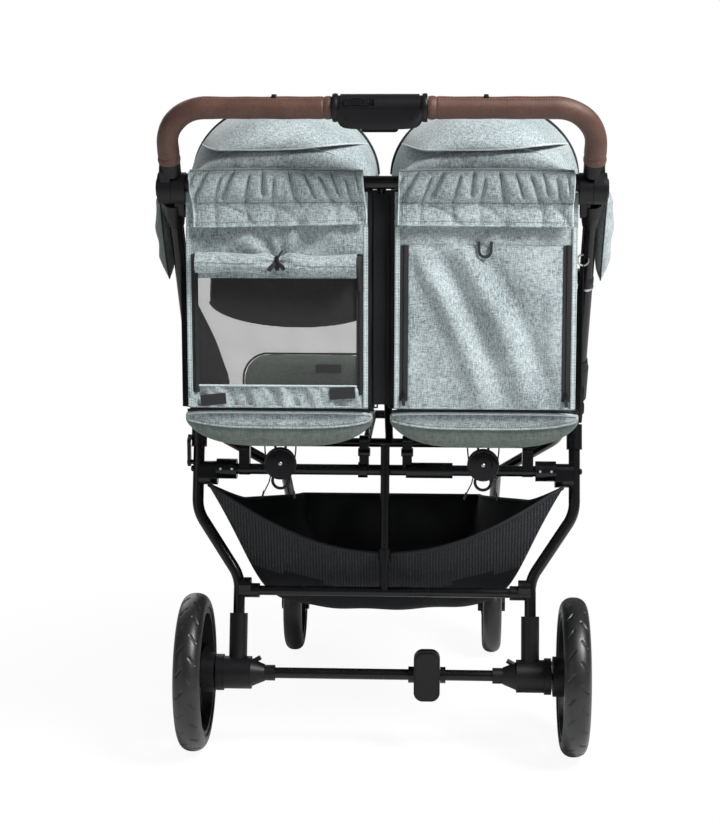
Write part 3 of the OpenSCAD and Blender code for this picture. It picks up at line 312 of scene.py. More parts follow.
CAD_FINISH = {
    TUBE: ("side_tube", "top_crossbar", "seat_base", "backrest_frame", "handlebar", "front_leg", "footrest",
           "rear_leg", "rear_crossbar", "basket_frame", "axle_tube"),
    PLASTIC: ("fold_hub", "hinge_lower", "hinge_upper", "recline_disc", "fold_housing", "fold_trigger",
              "lock_slider", "swivel_housing", "fork", "front_rim", "rear_rim", "storage_latch",
              "axle_bracket", "brake_pedal"),
    STEEL: ("brake_pin",),
}
for coat, families in CAD_FINISH.items():
    for name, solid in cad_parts.items():
        if name.replace("_left", "").replace("_right", "") in families:
            solid.data.materials.clear()
            solid.data.materials.append(coat)


# Shapes: whole arrays of points in millimetres with their faces

def ease(t):
    """0 to 1 with level ends: three t squared less two t cubed, held outside."""
    t = np.clip(t, 0, 1)
    return t * t * (3 - 2 * t)


def mix(a, b, t):
    """Straight blend of a into b."""
    return a + (b - a) * t


def hill(t, width):
    """A smooth hill of height 1: e to the minus square of t over width."""
    return np.exp(-(t / width) ** 2)


def at(x, y, z):
    """Points from their three coordinates, each one number or an array."""
    return np.stack(np.broadcast_arrays(x, y, z), axis=-1)


def turns(count):
    """Angles of equal steps round a circle."""
    return np.linspace(0, 2 * np.pi, count, endpoint=False)


def unit(way):
    """The same directions with length 1."""
    return way / np.linalg.norm(way, axis=-1, keepdims=True)


def cells(rows, cols, wrap_rows=False, wrap_cols=False):
    """Quads of a grid of points. A wrapped direction closes on itself."""
    index = np.arange(rows * cols).reshape(rows, cols)
    if wrap_rows:
        index = np.vstack([index, index[:1]])
    if wrap_cols:
        index = np.hstack([index, index[:, :1]])
    corners = (index[:-1, :-1], index[:-1, 1:], index[1:, 1:], index[1:, :-1])
    return np.stack(corners, axis=-1).reshape(-1, 4)


def spread(low, high, rows, left, right, cols):
    """Column of values from low to high and row of values from left to right, for a grid."""
    return np.linspace(low, high, rows)[:, None], np.linspace(left, right, cols)[None]


def rim_of(rows, cols):
    """Points round the edge of a grid, in the order its faces turn."""
    index = np.arange(rows * cols).reshape(rows, cols)
    return np.concatenate([index[0, :-1], index[:-1, -1], index[-1, :0:-1], index[:0:-1, 0]])


def shell(front, back):
    """Closed body between two grids of points with the same rows and columns. Its second paint is the
    back."""
    rows, cols = front.shape[:2]
    count = rows * cols
    face = cells(rows, cols)
    edge = rim_of(rows, cols)
    after = np.roll(edge, -1)
    sides = np.stack([after, edge, edge + count, after + count], axis=-1)
    return {"points": np.concatenate([front.reshape(-1, 3), back.reshape(-1, 3)]),
            "faces": np.concatenate([face, sides, face[:, ::-1] + count]).tolist(),
            "paint": np.repeat([0, 0, 1], [len(face), len(sides), len(face)])}


def across_of(points):
    """Unit normals of a grid: the cross product of its steps along columns and rows."""
    normal = np.cross(np.gradient(points, axis=1), np.gradient(points, axis=0))
    return normal / np.maximum(np.linalg.norm(normal, axis=-1, keepdims=True), 1e-9)


def cloth(points, thick):
    """Sheet of even thickness about a grid: half of it out along the normals and half in."""
    half = across_of(points) * (thick / 2)
    return shell(points + half, points - half)


def shaped(points, faces):
    """Shape from a grid of points and its faces, all in one finish."""
    return {"points": points.reshape(-1, 3), "faces": faces, "paint": np.zeros(len(faces), int)}


def fanned(rings):
    """Closed body between rings of points, with a fan of triangles on its first and its last ring."""
    rows, cols = rings.shape[:2]
    first = np.arange(cols)
    last = first + (rows - 1) * cols
    start_fan = np.stack([np.full(cols, rows * cols), np.roll(first, -1), first], axis=-1)
    end_fan = np.stack([np.full(cols, rows * cols + 1), last, np.roll(last, -1)], axis=-1)
    points = np.concatenate([rings.reshape(-1, 3), rings[0].mean(axis=0)[None],
                             rings[-1].mean(axis=0)[None]])
    return shaped(points,
                  cells(rows, cols, wrap_cols=True).tolist() + start_fan.tolist() + end_fan.tolist())


def lidded(rings):
    """Closed body between rings of points, with a flat lid on its first and its last ring."""
    rows, cols = rings.shape[:2]
    first = list(range(cols))
    last = [i + (rows - 1) * cols for i in first]
    return shaped(rings, cells(rows, cols, wrap_cols=True).tolist() + [first[::-1], last])


def tube(path, profile):
    """Profile carried along a path: each station is the path point plus the profile's two coordinates along
    two directions across the path, which turn as little as they can. Both ends are closed by fans."""
    path = np.asarray(path, dtype=float)
    along = unit(np.gradient(path, axis=0))
    side = np.empty_like(along)
    start = np.cross(along[0], (0, 0, 1) if abs(along[0][2]) < 0.9 else (1, 0, 0))
    for i, way in enumerate(along):
        start = unit(start - way * start.dot(way))
        side[i] = start
    up = np.cross(along, side)
    profile = np.broadcast_to(profile, (len(path), *np.shape(profile)[-2:]))
    ring = path[:, None] + profile[..., :1] * side[:, None] + profile[..., 1:] * up[:, None]
    return fanned(ring)


def ring_of(radius, count):
    """Points round a circle. Rows of radii give rows of circles."""
    a = turns(count)
    return np.stack([radius * np.cos(a), radius * np.sin(a)], axis=-1)


def rope(path, radius, count):
    """Round section carried along a path, with one radius or one for each point."""
    return tube(path, ring_of(np.reshape(radius, (-1, 1)), count))


def lath(width, thick):
    """Flat strip's profile, with corners cut a fifth of its thickness."""
    w, t = width / 2, thick / 2
    c = min(thick, width) * 0.2
    return np.array([(w, t - c), (w - c, t), (c - w, t), (-w, t - c), (-w, c - t), (c - w, -t), (w - c, -t),
                     (w, c - t)])


def bent(corners, radius, step=4.0):
    """Path along straight runs joined by arcs of a radius, with points a step apart."""
    corners = np.asarray(corners, dtype=float)
    runs = [corners[:1]]
    for a, b, c in zip(corners[:-2], corners[1:-1], corners[2:]):
        u, w = unit(b - a), unit(c - b)
        swing = math.acos(np.clip(u.dot(w), -1, 1))
        n = unit(w - u * u.dot(w))
        centre = b - u * radius * math.tan(swing / 2) + n * radius
        t = np.linspace(0, swing, max(4, int(radius * swing / step)))[:, None]
        runs.append(centre - n * radius * np.cos(t) + u * radius * np.sin(t))
    runs.append(corners[-1:])
    return even(np.concatenate(runs), step)


def even(path, step):
    """The same line with points an equal step apart."""
    path = np.asarray(path, dtype=float)
    way = np.concatenate([[0], np.cumsum(np.linalg.norm(np.diff(path, axis=0), axis=1))])
    spots = np.linspace(0, way[-1], max(2, int(round(way[-1] / step)) + 1))
    return np.stack([np.interp(spots, way, path[:, i]) for i in range(3)], axis=-1)


def curve(points, count):
    """Smooth line through points: between two of them a cubic whose end slopes are half the step between
    the points on either side."""
    points = np.asarray(points, dtype=float)
    ends = np.vstack([2 * points[0] - points[1], points, 2 * points[-1] - points[-2]])
    spot = np.linspace(0, len(points) - 1, count)
    i = np.minimum(spot.astype(int), len(points) - 2)
    t = (spot - i)[:, None]
    a, b, c, d = (ends[i + k] for k in range(4))
    return b + 0.5 * t * (c - a + t * (2 * a - 5 * b + 4 * c - d + t * (3 * (b - c) + d - a)))


def stitches(path, pitch=4.0, share=0.62, radius=0.55):
    """Row of stitches: one short six sided lens for each pitch of the path, as long as a share of it."""
    line = even(path, pitch)
    along = unit(np.gradient(line, axis=0))
    lead = np.where(np.abs(along[:, 2:]) < 0.9, (0.0, 0.0, 1.0), (1.0, 0.0, 0.0))
    side = unit(np.cross(along, lead))
    up = np.cross(along, side)
    place = np.linspace(-0.5, 0.5, 5) * pitch * share
    girth = radius * np.array([0.3, 0.85, 1.0, 0.85, 0.3])
    circle = ring_of(1.0, 6)
    ring = (line[:, None, None] + place[:, None, None] * along[:, None, None]
            + (girth[:, None, None] * circle[:, :1]) * side[:, None, None]
            + (girth[:, None, None] * circle[:, 1:]) * up[:, None, None])
    body = cells(5, 6, wrap_cols=True)
    ends = np.array([[5, 4, 3, 2], [5, 2, 1, 0], [24, 25, 26, 27], [24, 27, 28, 29]])
    one = np.concatenate([body, ends])
    faces = (one + 30 * np.arange(len(line))[:, None, None]).reshape(-1, 4)
    return shaped(ring, faces.tolist())


def block(centre, size, swell=0.25):
    """Small moulded block: a ball pushed towards a box by a power of its coordinates, with flat ends."""
    a = np.linspace(-1.4, 1.4, 7)[:, None]
    b = turns(14)[None]
    ball = at(np.cos(a) * np.cos(b), np.cos(a) * np.sin(b), np.sin(a))
    return lidded(np.sign(ball) * np.abs(ball) ** swell * np.array(size) / 2 + np.array(centre))


def mirrored(shape):
    """The shape on the other side of the middle plane, with its faces turned round."""
    return {"points": shape["points"] * (-1, 1, 1), "faces": [f[::-1] for f in shape["faces"]],
            "paint": shape["paint"]}


def piece(name, body, *parts, slot, stands_for=(), smooth=40.0):
    """One object from shapes and their finishes: in place, in metres, and moving with a body."""
    points, faces, paint, coats = [], [], [], []
    count = 0
    for shape, *finishes in parts:
        points.append(shape["points"])
        faces.extend([[i + count for i in f] for f in shape["faces"]])
        slots = []
        for coat in finishes:
            if coat not in coats:
                coats.append(coat)
            slots.append(coats.index(coat))
        paint.append(np.array(slots)[np.minimum(shape["paint"], len(slots) - 1)])
        count += len(shape["points"])
    data = bpy.data.meshes.new(name)
    data.from_pydata(np.concatenate(points) / 1000, [], faces)
    for coat in coats:
        data.materials.append(coat)
    data.polygons.foreach_set("material_index", np.concatenate(paint).astype(np.int32))
    data.polygons.foreach_set("use_smooth", np.ones(len(faces), bool))
    data.update()
    data.set_sharp_from_angle(angle=math.radians(smooth))
    made = bpy.data.objects.new(name, data)
    scene.collection.objects.link(made)
    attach(made, body)
    if stands_for:
        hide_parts(*stands_for)
    return made


# Cloth simulation of a pad: the size its skin is remeshed at in metres, the pressure inside, and the steps
PAD_VOXEL, PAD_PRESSURE, PAD_STEPS = 0.005, 4.0, 20


def stuffed(made, cap):
    """Fills a closed pad as foam fills its cover: remeshed, then swelled by cloth under pressure without
    gravity for twenty steps, each point held within a cap of where it began, and smoothed by one
    subdivision."""
    bpy.context.view_layer.objects.active = made
    remesh = made.modifiers.new("remesh", "REMESH")
    remesh.mode = "VOXEL"
    remesh.voxel_size = PAD_VOXEL
    bpy.ops.object.modifier_apply(modifier=remesh.name)
    count = len(made.data.vertices)
    began = np.empty(count * 3)
    made.data.vertices.foreach_get("co", began)
    sim = made.modifiers.new("cloth", "CLOTH")
    sim.settings.use_pressure = True
    sim.settings.uniform_pressure_force = PAD_PRESSURE
    sim.settings.effector_weights.gravity = 0.0
    sim.settings.quality = 4
    for step in range(1, PAD_STEPS + 1):
        scene.frame_set(step)
    grown = np.empty(count * 3)
    made.evaluated_get(bpy.context.evaluated_depsgraph_get()).data.vertices.foreach_get("co", grown)
    made.modifiers.remove(sim)
    scene.frame_set(1)
    move = (grown - began).reshape(-1, 3)
    far = np.linalg.norm(move, axis=1, keepdims=True)
    move *= np.minimum(1, cap / 1000 / np.maximum(far, 1e-9))
    made.data.vertices.foreach_set("co", (began.reshape(-1, 3) + move).ravel())
    made.data.update()
    finer = made.modifiers.new("smooth cover", "SUBSURF")
    finer.levels = finer.render_levels = 1


def zip_line(path, width):
    """Zip along a path on a rear face: flat tape, and coil teeth 1 mm behind it."""
    path = even(path, 6.0)
    coil = stitches(path + (0, -1, 0), pitch=3.0, share=0.75, radius=1.5)
    return [(tube(path, lath(1.2, width)), BLACK_TAPE), (coil, NYLON)]


def bound_edge(path, width, row, out):
    """Stitched binding along a path on a rear face: a flat strip with a row of stitches near each edge."""
    strip = even(path, 6)
    rows = [(stitches(strip + (off, -out, 0), 4.5), THREAD) for off in (-row, row)]
    return [(tube(strip, lath(1.8, width)), BINDING), *rows]


# Handle: leather grips, their hems and stitching

def along_arm(distance, side):
    """Point on the handle arm a distance from the hinge axis."""
    return np.array([side * SIDE_X, *(HINGE + unit(BAR - HINGE) * distance)])


def grips():
    """Leather sewn round the handlebar on both sides: a round section carried along the bent bar, fuller by
    a hem at each end, with a shallow groove inside each hem and two rows of stitches along its upper back
    edge."""
    parts = []
    for side in (-1, 1):
        line = bent([(side * (HOUSING_HALF + 0.5), *BAR), (side * SIDE_X, *BAR), along_arm(46.5, side)],
                    BAR_BEND, 2.0)
        way = np.linspace(0, 1, len(line)) * 2.0 * (len(line) - 1)
        hem = 0.8 * (ease(1 - abs(way - 5) / 6) + ease(1 - abs(way[-1] - way - 5) / 6))
        groove = 0.9 * (hill(way - 12, 1.3) + hill(way[-1] - way - 12, 1.3))
        wave = 0.25 * np.sin(way / 9.0) + 0.2 * np.sin(way / 23.0 + side)
        parts.append((rope(line, GRIP_R - 0.6 + hem - groove + wave, 40), LEATHER))
        for lift, back in ((15.4, 7.4), (12.6, 11.4)):
            row = line[8:-8] + np.array([0, -back, lift])
            keep = np.abs(row[:, 0]) < SIDE_X - BAR_BEND + 6
            parts.append((stitches(row[keep], 4.0, 0.66, 0.6), BROWN_THREAD))
    piece("leather_grips", "handle", *parts, stands_for=("grips",), slot="leather_brown")


grips()


def housing_trim():
    """Trim of the fold control: end collars, a slider frame, screws, two clips, and a cowl below the
    barrel. The cowl follows the barrel's circle at its ends and hangs lower between them, with a twelfth
    power and a shallow bow."""
    parts = []
    for side in (-1, 1):
        rim = [(side * x, *BAR) for x in (62, 64.5, 67, 69.4)]
        parts.append((rope(rim, (20.4, 21.0, 21.0, 20.2), 40), PLASTIC))
        screw = [(side * 47, BAR[0] - 19.6, 1039), (side * 47, BAR[0] - 21.4, 1039)]
        parts.append((rope(screw, (3.0, 2.4), 16), PLASTIC))
        clip = [(side * 155, BAR[0] - 2, BAR[1] + 15), (side * 155, BAR[0] - 2, BAR[1] + 19.5)]
        parts.append((tube(clip, np.stack([lath(16, 8), lath(13, 6)])), PLASTIC))
    a = np.linspace(0, 2 * np.pi, 41)
    oval = at(-34 + 18.0 * np.cos(a), BAR[0] - 19.6, 1063 + 6.0 * np.sin(a))
    parts.append((rope(oval, 1.0, 8), PLASTIC))
    half, round_r = 61.5, 20.5
    down, x = spread(0.0, 1.0, 20, -half, half, 60)
    belly = 1 - np.abs(x / half) ** 12
    z = mix(1053.0, 1036.8 - 11.0 * belly ** 0.8 - 2.2 * (1 - (x / half) ** 2), down)
    barrel = BAR[0] - np.sqrt((round_r ** 2 - (z - BAR[1]) ** 2).clip(0))
    y = mix(barrel, np.maximum(barrel.min(axis=0) + 4.0 * down ** 3, BAR[0] - round_r), belly ** 0.5)
    parts.append((cloth(at(x, y, z), 1.6), PLASTIC))
    piece("fold_housing_trim", "handle", *parts, slot="plastic_black")


housing_trim()


# Canopies

def hood(turn, f, w, r, rim, lift):
    """Point of a hood: at an angle f across it the radius from the pivot axis grows from the rim to the
    crown with the sine of f, the width runs with the cosine, and the whole outline turns about the axis."""
    rho = rim + (r - rim) * np.sin(f) + lift
    return at(-w * np.cos(f), PIVOT[0] + rho * np.cos(turn), PIVOT[1] + rho * np.sin(turn))


# Heights of the flap's lower edge at equal steps across
FLAP_EDGE = [(997,), (984,), (981,), (981,), (983,), (985,), (988,), (991,), (997,)]


def canopy(name, side):
    """One canopy: rear hood with its flap, band and piping, a side wing, and the front hood."""
    shift = np.array([side * SEAT_X, 0, 0])
    # Rear hood, puffed a little between its bows
    turn, f = spread(math.radians(HOOD_SPLIT), math.radians(HOOD_REAR), 46, 0.0, math.pi, 73)
    t = (turn - turn[0]) / (turn[-1] - turn[0])
    arch = np.sin(math.pi * t)
    puff = 3.0 * arch ** 2 * np.sin(f) ** 0.5 + 0.7 * np.sin(9 * f + 4 * t) * arch
    skin = hood(turn, f, HOOD_W, HOOD_R, HOOD_RIM, puff) + shift
    # Flap over the back of the hood: its lower edge lies on the hood at both ends and hangs free between them
    s, g = spread(0.0, 1.0, 40, math.radians(27), math.radians(153), 80)
    stop = -np.cos(g) / math.cos(math.radians(27))
    low_z = np.interp(stop, np.linspace(-1, 1, 41), curve(FLAP_EDGE, 41)[:, 0])
    rho = HOOD_RIM + (HOOD_R - HOOD_RIM) * np.sin(g)
    rear = math.radians(HOOD_REAR)
    low = np.minimum(math.pi - np.arcsin(np.clip((low_z - PIVOT[1]) / rho, -1, 1)), rear)
    drop = np.maximum(0, PIVOT[1] + rho * math.sin(rear) - low_z) * ease((s - 0.7) / 0.3)
    free = 1 - stop ** 4
    lift = 2.2 + 12.0 * ease((s - 0.5) / 0.5) * free + 1.8 * np.sin(5 * g + 2 * s) * s * free
    fall = mix(math.radians(66), low, ease(s / 0.9) * 0.3 + 0.7 * np.clip(s / 0.9, 0, 1))
    flap = hood(fall, g, HOOD_W, HOOD_R, HOOD_RIM, lift)
    flap = flap + shift + at(0 * drop, -0.25 * drop, -drop)
    # Puffed band from the hood's rear edge down to the sleeve, drawn into small gathers at its foot
    v, h = spread(0.0, 1.0, 18, math.radians(33.5), math.radians(146.5), 90)
    top = hood(math.radians(HOOD_REAR - 0.6), h, HOOD_W, HOOD_R, HOOD_RIM, 0.6)
    foot_z = np.minimum(BAND_LOW - 3, top[..., 2] - 0.5)
    swell = 9.0 * np.sin(math.pi * v ** 1.3) * np.sin(h) + 2.4 * np.sin(17 * h + 2 * np.sin(5 * h)) * v ** 2
    swell = swell - 7.0 * hill(v - 0.12, 0.13) * np.sin(h) ** 8
    band = at(top[..., 0], mix(top[..., 1], PANEL_FACE, v) - swell, mix(top[..., 2], foot_z, v)) + shift
    # The pieces
    body = "main_frame"
    arc = np.linspace(0.02, math.pi - 0.02, 90)
    mid_edge = hood(math.radians(HOOD_SPLIT + 0.8), arc, HOOD_W, HOOD_R, HOOD_RIM, 1.6)
    crown = hood(math.radians(92), arc, HOOD_W + 1.5, HOOD_R, HOOD_RIM, 4.4)
    trim = piece("canopy_piping_" + name, body,
                 (rope(mid_edge + shift, 2.4, 10), BLACK_TAPE),
                 (rope(crown + shift, 2.6, 10), BLACK_TAPE),
                 (rope(even(flap[-1] + (0, -0.4, 0), 5.0), 1.5, 8), BINDING),
                 (stitches(flap[-3] + (0, -1.3, 0.6), 4.5), THREAD),
                 slot="fabric_black")
    skin_piece = piece("canopy_rear_skin_" + name, body, (cloth(skin[:, ::-1], 2.2), SAGE, BLACK_CLOTH),
                       stands_for=("canopy_rear_" + name,), slot="fabric_sage")
    # The flap's underside is the darker sage: painted shade under its lifted edge
    flap_piece = piece("canopy_flap_" + name, body, (cloth(flap[:, ::-1], 1.6), SAGE, SHADED_SAGE),
                       slot="fabric_sage")
    band_piece = piece("canopy_band_" + name, body, (cloth(band, 1.6), SAGE), slot="fabric_sage")
    wing(name, side)
    front_hood(name, side)


def front_hood(name, side):
    """Front hood on its two bow arms, black inside, hollowed between them with the square of a sine."""
    shift = np.array([side * SEAT_X, 0, 0])
    turn, f = spread(math.radians(HOOD_FRONT), math.radians(HOOD_SPLIT + 4), 40, 0.0, math.pi, 73)
    t = (turn - turn[0]) / (turn[-1] - turn[0])
    sag = -4.5 * np.sin(math.pi * np.clip(t / 0.93, 0, 1)) ** 2 * np.sin(f)
    skin = hood(turn, f, FRONT_W, FRONT_R, FRONT_RIM, sag - 1.1) + shift
    skin[..., 0] = shift[0] + (skin[..., 0] - shift[0]) * (1 - 1.2 / FRONT_W)
    arms = []
    for s in (-1, 1):
        x = side * SEAT_X + s * (HOOD_W + 1.5)
        reach = np.linspace(0, 148, 20)
        a = math.radians(5)
        arm = at(x, PIVOT[0] + reach * math.cos(a), PIVOT[1] + reach * math.sin(a))
        arms.append((tube(arm, lath(2.4, 12)), PLASTIC))
        boss = [(x - 1.2, *PIVOT), (x + 1.2, *PIVOT)]
        arms.append((rope(boss, 11, 28), PLASTIC))
    edge = piece("canopy_bow_" + name, "canopy_" + name, *arms, (rope(skin[0], 2.2, 10), BLACK_TAPE),
                 slot="plastic_black")
    front = piece("canopy_front_skin_" + name, "canopy_" + name,
                  (cloth(skin[:, ::-1], 2.0), SAGE, BLACK_CLOTH),
                  stands_for=("canopy_front_" + name,), slot="fabric_sage")


def wing(name, side):
    """Side wing outside the side tube: a padded leaf with round ends, crowned in the middle, with a zip
    pull. Each ring of the leaf is its outline drawn in by a share, and the crown rises with one less that
    share's fourth power."""
    tilt = math.radians(34.2)
    middle = np.array([-286.0, 859.0])
    q = turns(80)
    outline = np.stack([46 * np.sign(np.cos(q)) * np.abs(np.cos(q)) ** 0.72,
                        75 * np.sign(np.sin(q)) * np.abs(np.sin(q)) ** 0.72], axis=-1)
    share = np.array([0.05, 0.3, 0.55, 0.75, 0.9, 0.97, 1.0])
    flat = share[:, None, None] * outline
    crown = (1 - share ** 4)[:, None] * np.ones(80)
    turned = np.stack([flat[..., 0] * math.cos(tilt) - flat[..., 1] * math.sin(tilt),
                       flat[..., 0] * math.sin(tilt) + flat[..., 1] * math.cos(tilt)], axis=-1) + middle
    lean = 345.0 + 0.12 * flat[..., 0]
    quilt = 1.6 * np.sin(flat[..., 1] / 9.0 + flat[..., 0] / 17.0) * crown
    out = np.concatenate([(lean + 12.5 * crown + quilt)[..., None], turned], axis=-1)
    inner = np.concatenate([(lean - 12.5 * crown)[..., None], turned], axis=-1)
    pad = lidded(np.concatenate([out, inner[-2::-1]])[:, ::-1])
    hem = rope(np.vstack([out[-1], out[-1][:2]]), 1.2, 8)
    pull = [(341, -318, 905), (341, -320, 890), (341, -321, 874)]
    strap = [(300, -341, 924), (322, -343, 925), (341, -338, 920)]
    parts = [(hem, BLACK_TAPE), (tube(even(pull, 3), lath(2.0, 5.0)), STEEL),
             (tube(even(strap, 3), lath(1.6, 18)), SAGE)]
    if side < 0:
        pad = mirrored(pad)
        parts = [(mirrored(shape), coat) for shape, coat in parts]
    piece("canopy_wing_trim_" + name, "main_frame", *parts, slot="fabric_black")
    # The left wing, on the shaded side, is the darker sage: painted shade
    leaf = piece("canopy_wing_" + name, "main_frame", (pad, SAGE if side > 0 else SHADED_SAGE),
                 slot="fabric_sage")


for side_name, side_sign in SIDES.items():
    canopy(side_name, side_sign)


# Gathered sleeves over the top crossbar

# Sleeve's outline in side view, from the front of the bar over it and down to the hem
SLEEVE_LINE = [(-374, 955), (-382, 963), (-393, 966), (-403, 962), (-410.5, 952), (-412, 940), (-408, 926),
               (-401, 914), (-400, 906), (-402.5, 895), (-407, 880)]
# Its gathers: place across, slant, width, depth in millimetres, and the shares of the way down where each
# begins and ends
GATHERS = [
    (0.045, -0.10, 0.012, 6, 0.05, 0.80),
    (0.12, -0.12, 0.016, 10, 0.00, 0.95),
    (0.205, -0.08, 0.012, 7, 0.15, 1.0),
    (0.27, -0.11, 0.018, 11, 0.00, 0.90),
    (0.36, -0.05, 0.012, 8, 0.10, 1.00),
    (0.425, -0.01, 0.016, 10, 0.0, 0.80),
    (0.50, -0.03, 0.011, 7, 0.20, 1.00),
    (0.565, 0.05, 0.018, 11, 0.00, 0.95),
    (0.65, 0.08, 0.012, 8, 0.05, 0.85),
    (0.725, 0.10, 0.016, 10, 0.10, 1.00),
    (0.81, 0.06, 0.012, 7, 0.00, 0.80),
    (0.885, 0.05, 0.015, 8, 0.15, 0.95),
    (0.955, 0.03, 0.010, 5, 0.00, 0.70),
]
# Folds of its hem band: place across, slant and width
HEM_FOLDS = [(0.16, 0.2, 0.03), (0.47, 0.14, 0.035), (0.70, -0.1, 0.03), (0.88, 0.1, 0.025)]


def sleeve(name, side):
    """Sleeve round the bar and down to its hem. Below the seam its cloth is drawn into slanting gathers
    that spread outwards going down and end at a row of stitches, where it lies furthest in; the hem band
    below swings out."""
    line = curve(SLEEVE_LINE, 101)
    p, u = spread(0.0, 10.0, 101, 0.0, 1.0, 261)
    g = np.clip((p - 2.8) / 4.2, 0, 1)
    band = np.clip((p - 7) / 3, 0, 1)
    depth = 0
    for place, slant, width, deep, first, last in GATHERS:
        shown = ease((g - first) / 0.25) * (1 - ease((g - last + 0.15) / 0.25))
        depth = depth + deep * shown * hill(u - place - slant * g, width * (0.6 + 0.9 * g))
    depth = depth - 2.0 * ease(g / 0.3) * (1 - ease((g - 0.8) / 0.2))
    wave = 1.8 * np.sin(13 * u + 1.3 * side) + 1.2 * np.sin(29 * u + 5 * band)
    for place, slant, width in HEM_FOLDS:
        wave = wave - 3.0 * hill(u - place - slant * band, width)
    wave = wave * ease(band / 0.35)
    stitch = 1.2 * hill(p - 7, 0.12)
    lean = 6.0 if side < 0 else -2.0
    x = side * SEAT_X + (2 * u - 1) * 130.5 + lean * ease((p - 3) / 7)
    y = line[:, :1] + depth + stitch - wave
    z = line[:, 1:] + lean * (u - 0.5) * ease((p - 5) / 5) - 4.0 * (2 * u - 1) ** 2 * (1 - ease(p / 7))
    points = at(x, y, z)
    out = np.array([0, -1.3, 0])
    # Dark cord along the seam where the band overlaps the sleeve: a seam, drawn dark also as painted shadow
    # of that overlap
    seam = rope(even(points[29] + (0, -0.4, 0.4), 4.0), 0.9, 8)
    parts = [(stitches(points[70] + out, 4.5), THREAD), (stitches(points[96] + out, 4.5), THREAD),
             (seam, THREAD)]
    parts += [(stitches(points[32:, i] + out, 4.5), THREAD) for i in (6, 12, -13, -7)]
    parts += [(rope(points[30:, i] + (0, -0.3, 0), 1.4, 8), BINDING) for i in (0, -1)]
    parts.append((rope(even(points[-1], 4.0), 1.4, 8), SAGE))
    trim = piece("sleeve_stitching_" + name, "main_frame", *parts, slot="fabric_sage")
    made = piece("gathered_sleeve_" + name, "main_frame", (cloth(points, 1.4), SAGE),
                 stands_for=("sleeve_" + name,), slot="fabric_sage")


for side_name, side_sign in SIDES.items():
    sleeve(side_name, side_sign)


# Rear panels

def around(w0, z0, w1, z1, count):
    """Points round a rectangle from its lower left corner, by share of each side, as (x, z)."""
    corners = np.array([(w0, z0), (w1, z0), (w1, z1), (w0, z1)])
    t = np.linspace(0, 4, 4 * count, endpoint=False)
    i = t.astype(int)
    return mix(corners[i], corners[(i + 1) % 4], (t - i)[:, None])


def pull_tab(x, y, z, length):
    """Zip slider and its hanging tab: a small block with a flat tongue below it."""
    tongue = [(x, y - 2.4, z - 3), (x, y - 2.8, z - length * 0.5), (x + 1, y - 2.2, z - length)]
    return [(block((x, y - 1.2, z), (7, 5, 10)), PLASTIC),
            (tube(even(tongue, 3), lath(1.6, 5.0)), BLACK_TAPE)]


def panel_left():
    """Left rear panel, its flap rolled up and tied over a net window: a frame of cloth round the window
    whose rows run from the window's edge to the panel's edge, with drape folds above and puckers below."""
    inner = around(-WINDOW_W, WINDOW_LOW, WINDOW_W, WINDOW_TOP, 90)
    outer = around(-PANEL_W, PANEL_LOW, PANEL_W, PANEL_TOP, 90)
    flat = mix(inner, outer, np.linspace(0, 1, 22)[:, None, None])
    x, z = flat[..., 0], flat[..., 1]
    high = ease((z - 812) / 30)
    low = ease((WINDOW_LOW + 4 - z) / 10)
    drape = 3.4 * high * np.sin(x / 15.0 + 1.6 * np.sin(x / 47.0)) * hill(z - 862, 26)
    tied = np.arctan2(z - 822, x - 2)
    drape = drape + 3.6 * high * np.sin(8 * tied) * hill(np.hypot(x - 2, z - 822) - 42, 24)
    pucker = low * (2.6 * np.sin(x / 8.0 + 1.2 * np.sin(x / 21.0)) + 1.2 * np.sin(x / 3.7 + z / 9.0))
    y = PANEL_FACE - 2.0 * high - drape - pucker
    points = at(x - SEAT_X, y, z)
    ring = np.concatenate([points, points[:, :1]], axis=1)
    cloth_frame = cloth(ring[:, ::-1], 1.8)
    trim = []
    for edge_x in (-PANEL_W + 3, PANEL_W - 3):
        line = [(edge_x - SEAT_X, -393.6, PANEL_LOW + 1), (edge_x - SEAT_X, -394.0, 878)]
        trim += bound_edge(line, 7.0, 2.2, 1.0)
    for edge_x, low_z in ((-WINDOW_W - 4, WINDOW_LOW - 10), (WINDOW_W + 4, WINDOW_LOW - 12)):
        line = [(edge_x - SEAT_X, -393.4, low_z), (edge_x - SEAT_X, -393.6, 836)]
        trim += zip_line(line, 10.0)
    trim += pull_tab(WINDOW_W + 4 - SEAT_X, -395.4, 826, 46)
    for left, right, z0, z1 in ((-119, -80, 610, 614), (80, 119, 621, 624)):
        patch = [(left - SEAT_X, -395.0, z0), (right - SEAT_X, -395.0, z1)]
        trim.append((tube(even(patch, 6), lath(1.6, 17.0)), BLACK_TAPE))
    foot = at(np.linspace(-PANEL_W, PANEL_W, 80) - SEAT_X, -391.6, PANEL_LOW + 0.8)
    trim.append((rope(foot, 1.9, 8), SAGE))
    window = at(np.linspace(-WINDOW_W, WINDOW_W, 70) - SEAT_X, -393.0, WINDOW_LOW + 0.5)
    trim.append((rope(window, 1.6, 8), BINDING))
    trim.append((stitches(window + (0, -0.6, -4.0), 4.5), THREAD))
    edging = piece("panel_trim_left", "main_frame", *trim, slot="fabric_black")
    # The frame's inner face is the darker sage: painted shade
    made = piece("panel_left", "main_frame", (cloth_frame, SAGE, SHADED_SAGE),
                 stands_for=("rear_panel_left",), slot="fabric_sage")
    net_window()
    rolled_flap()


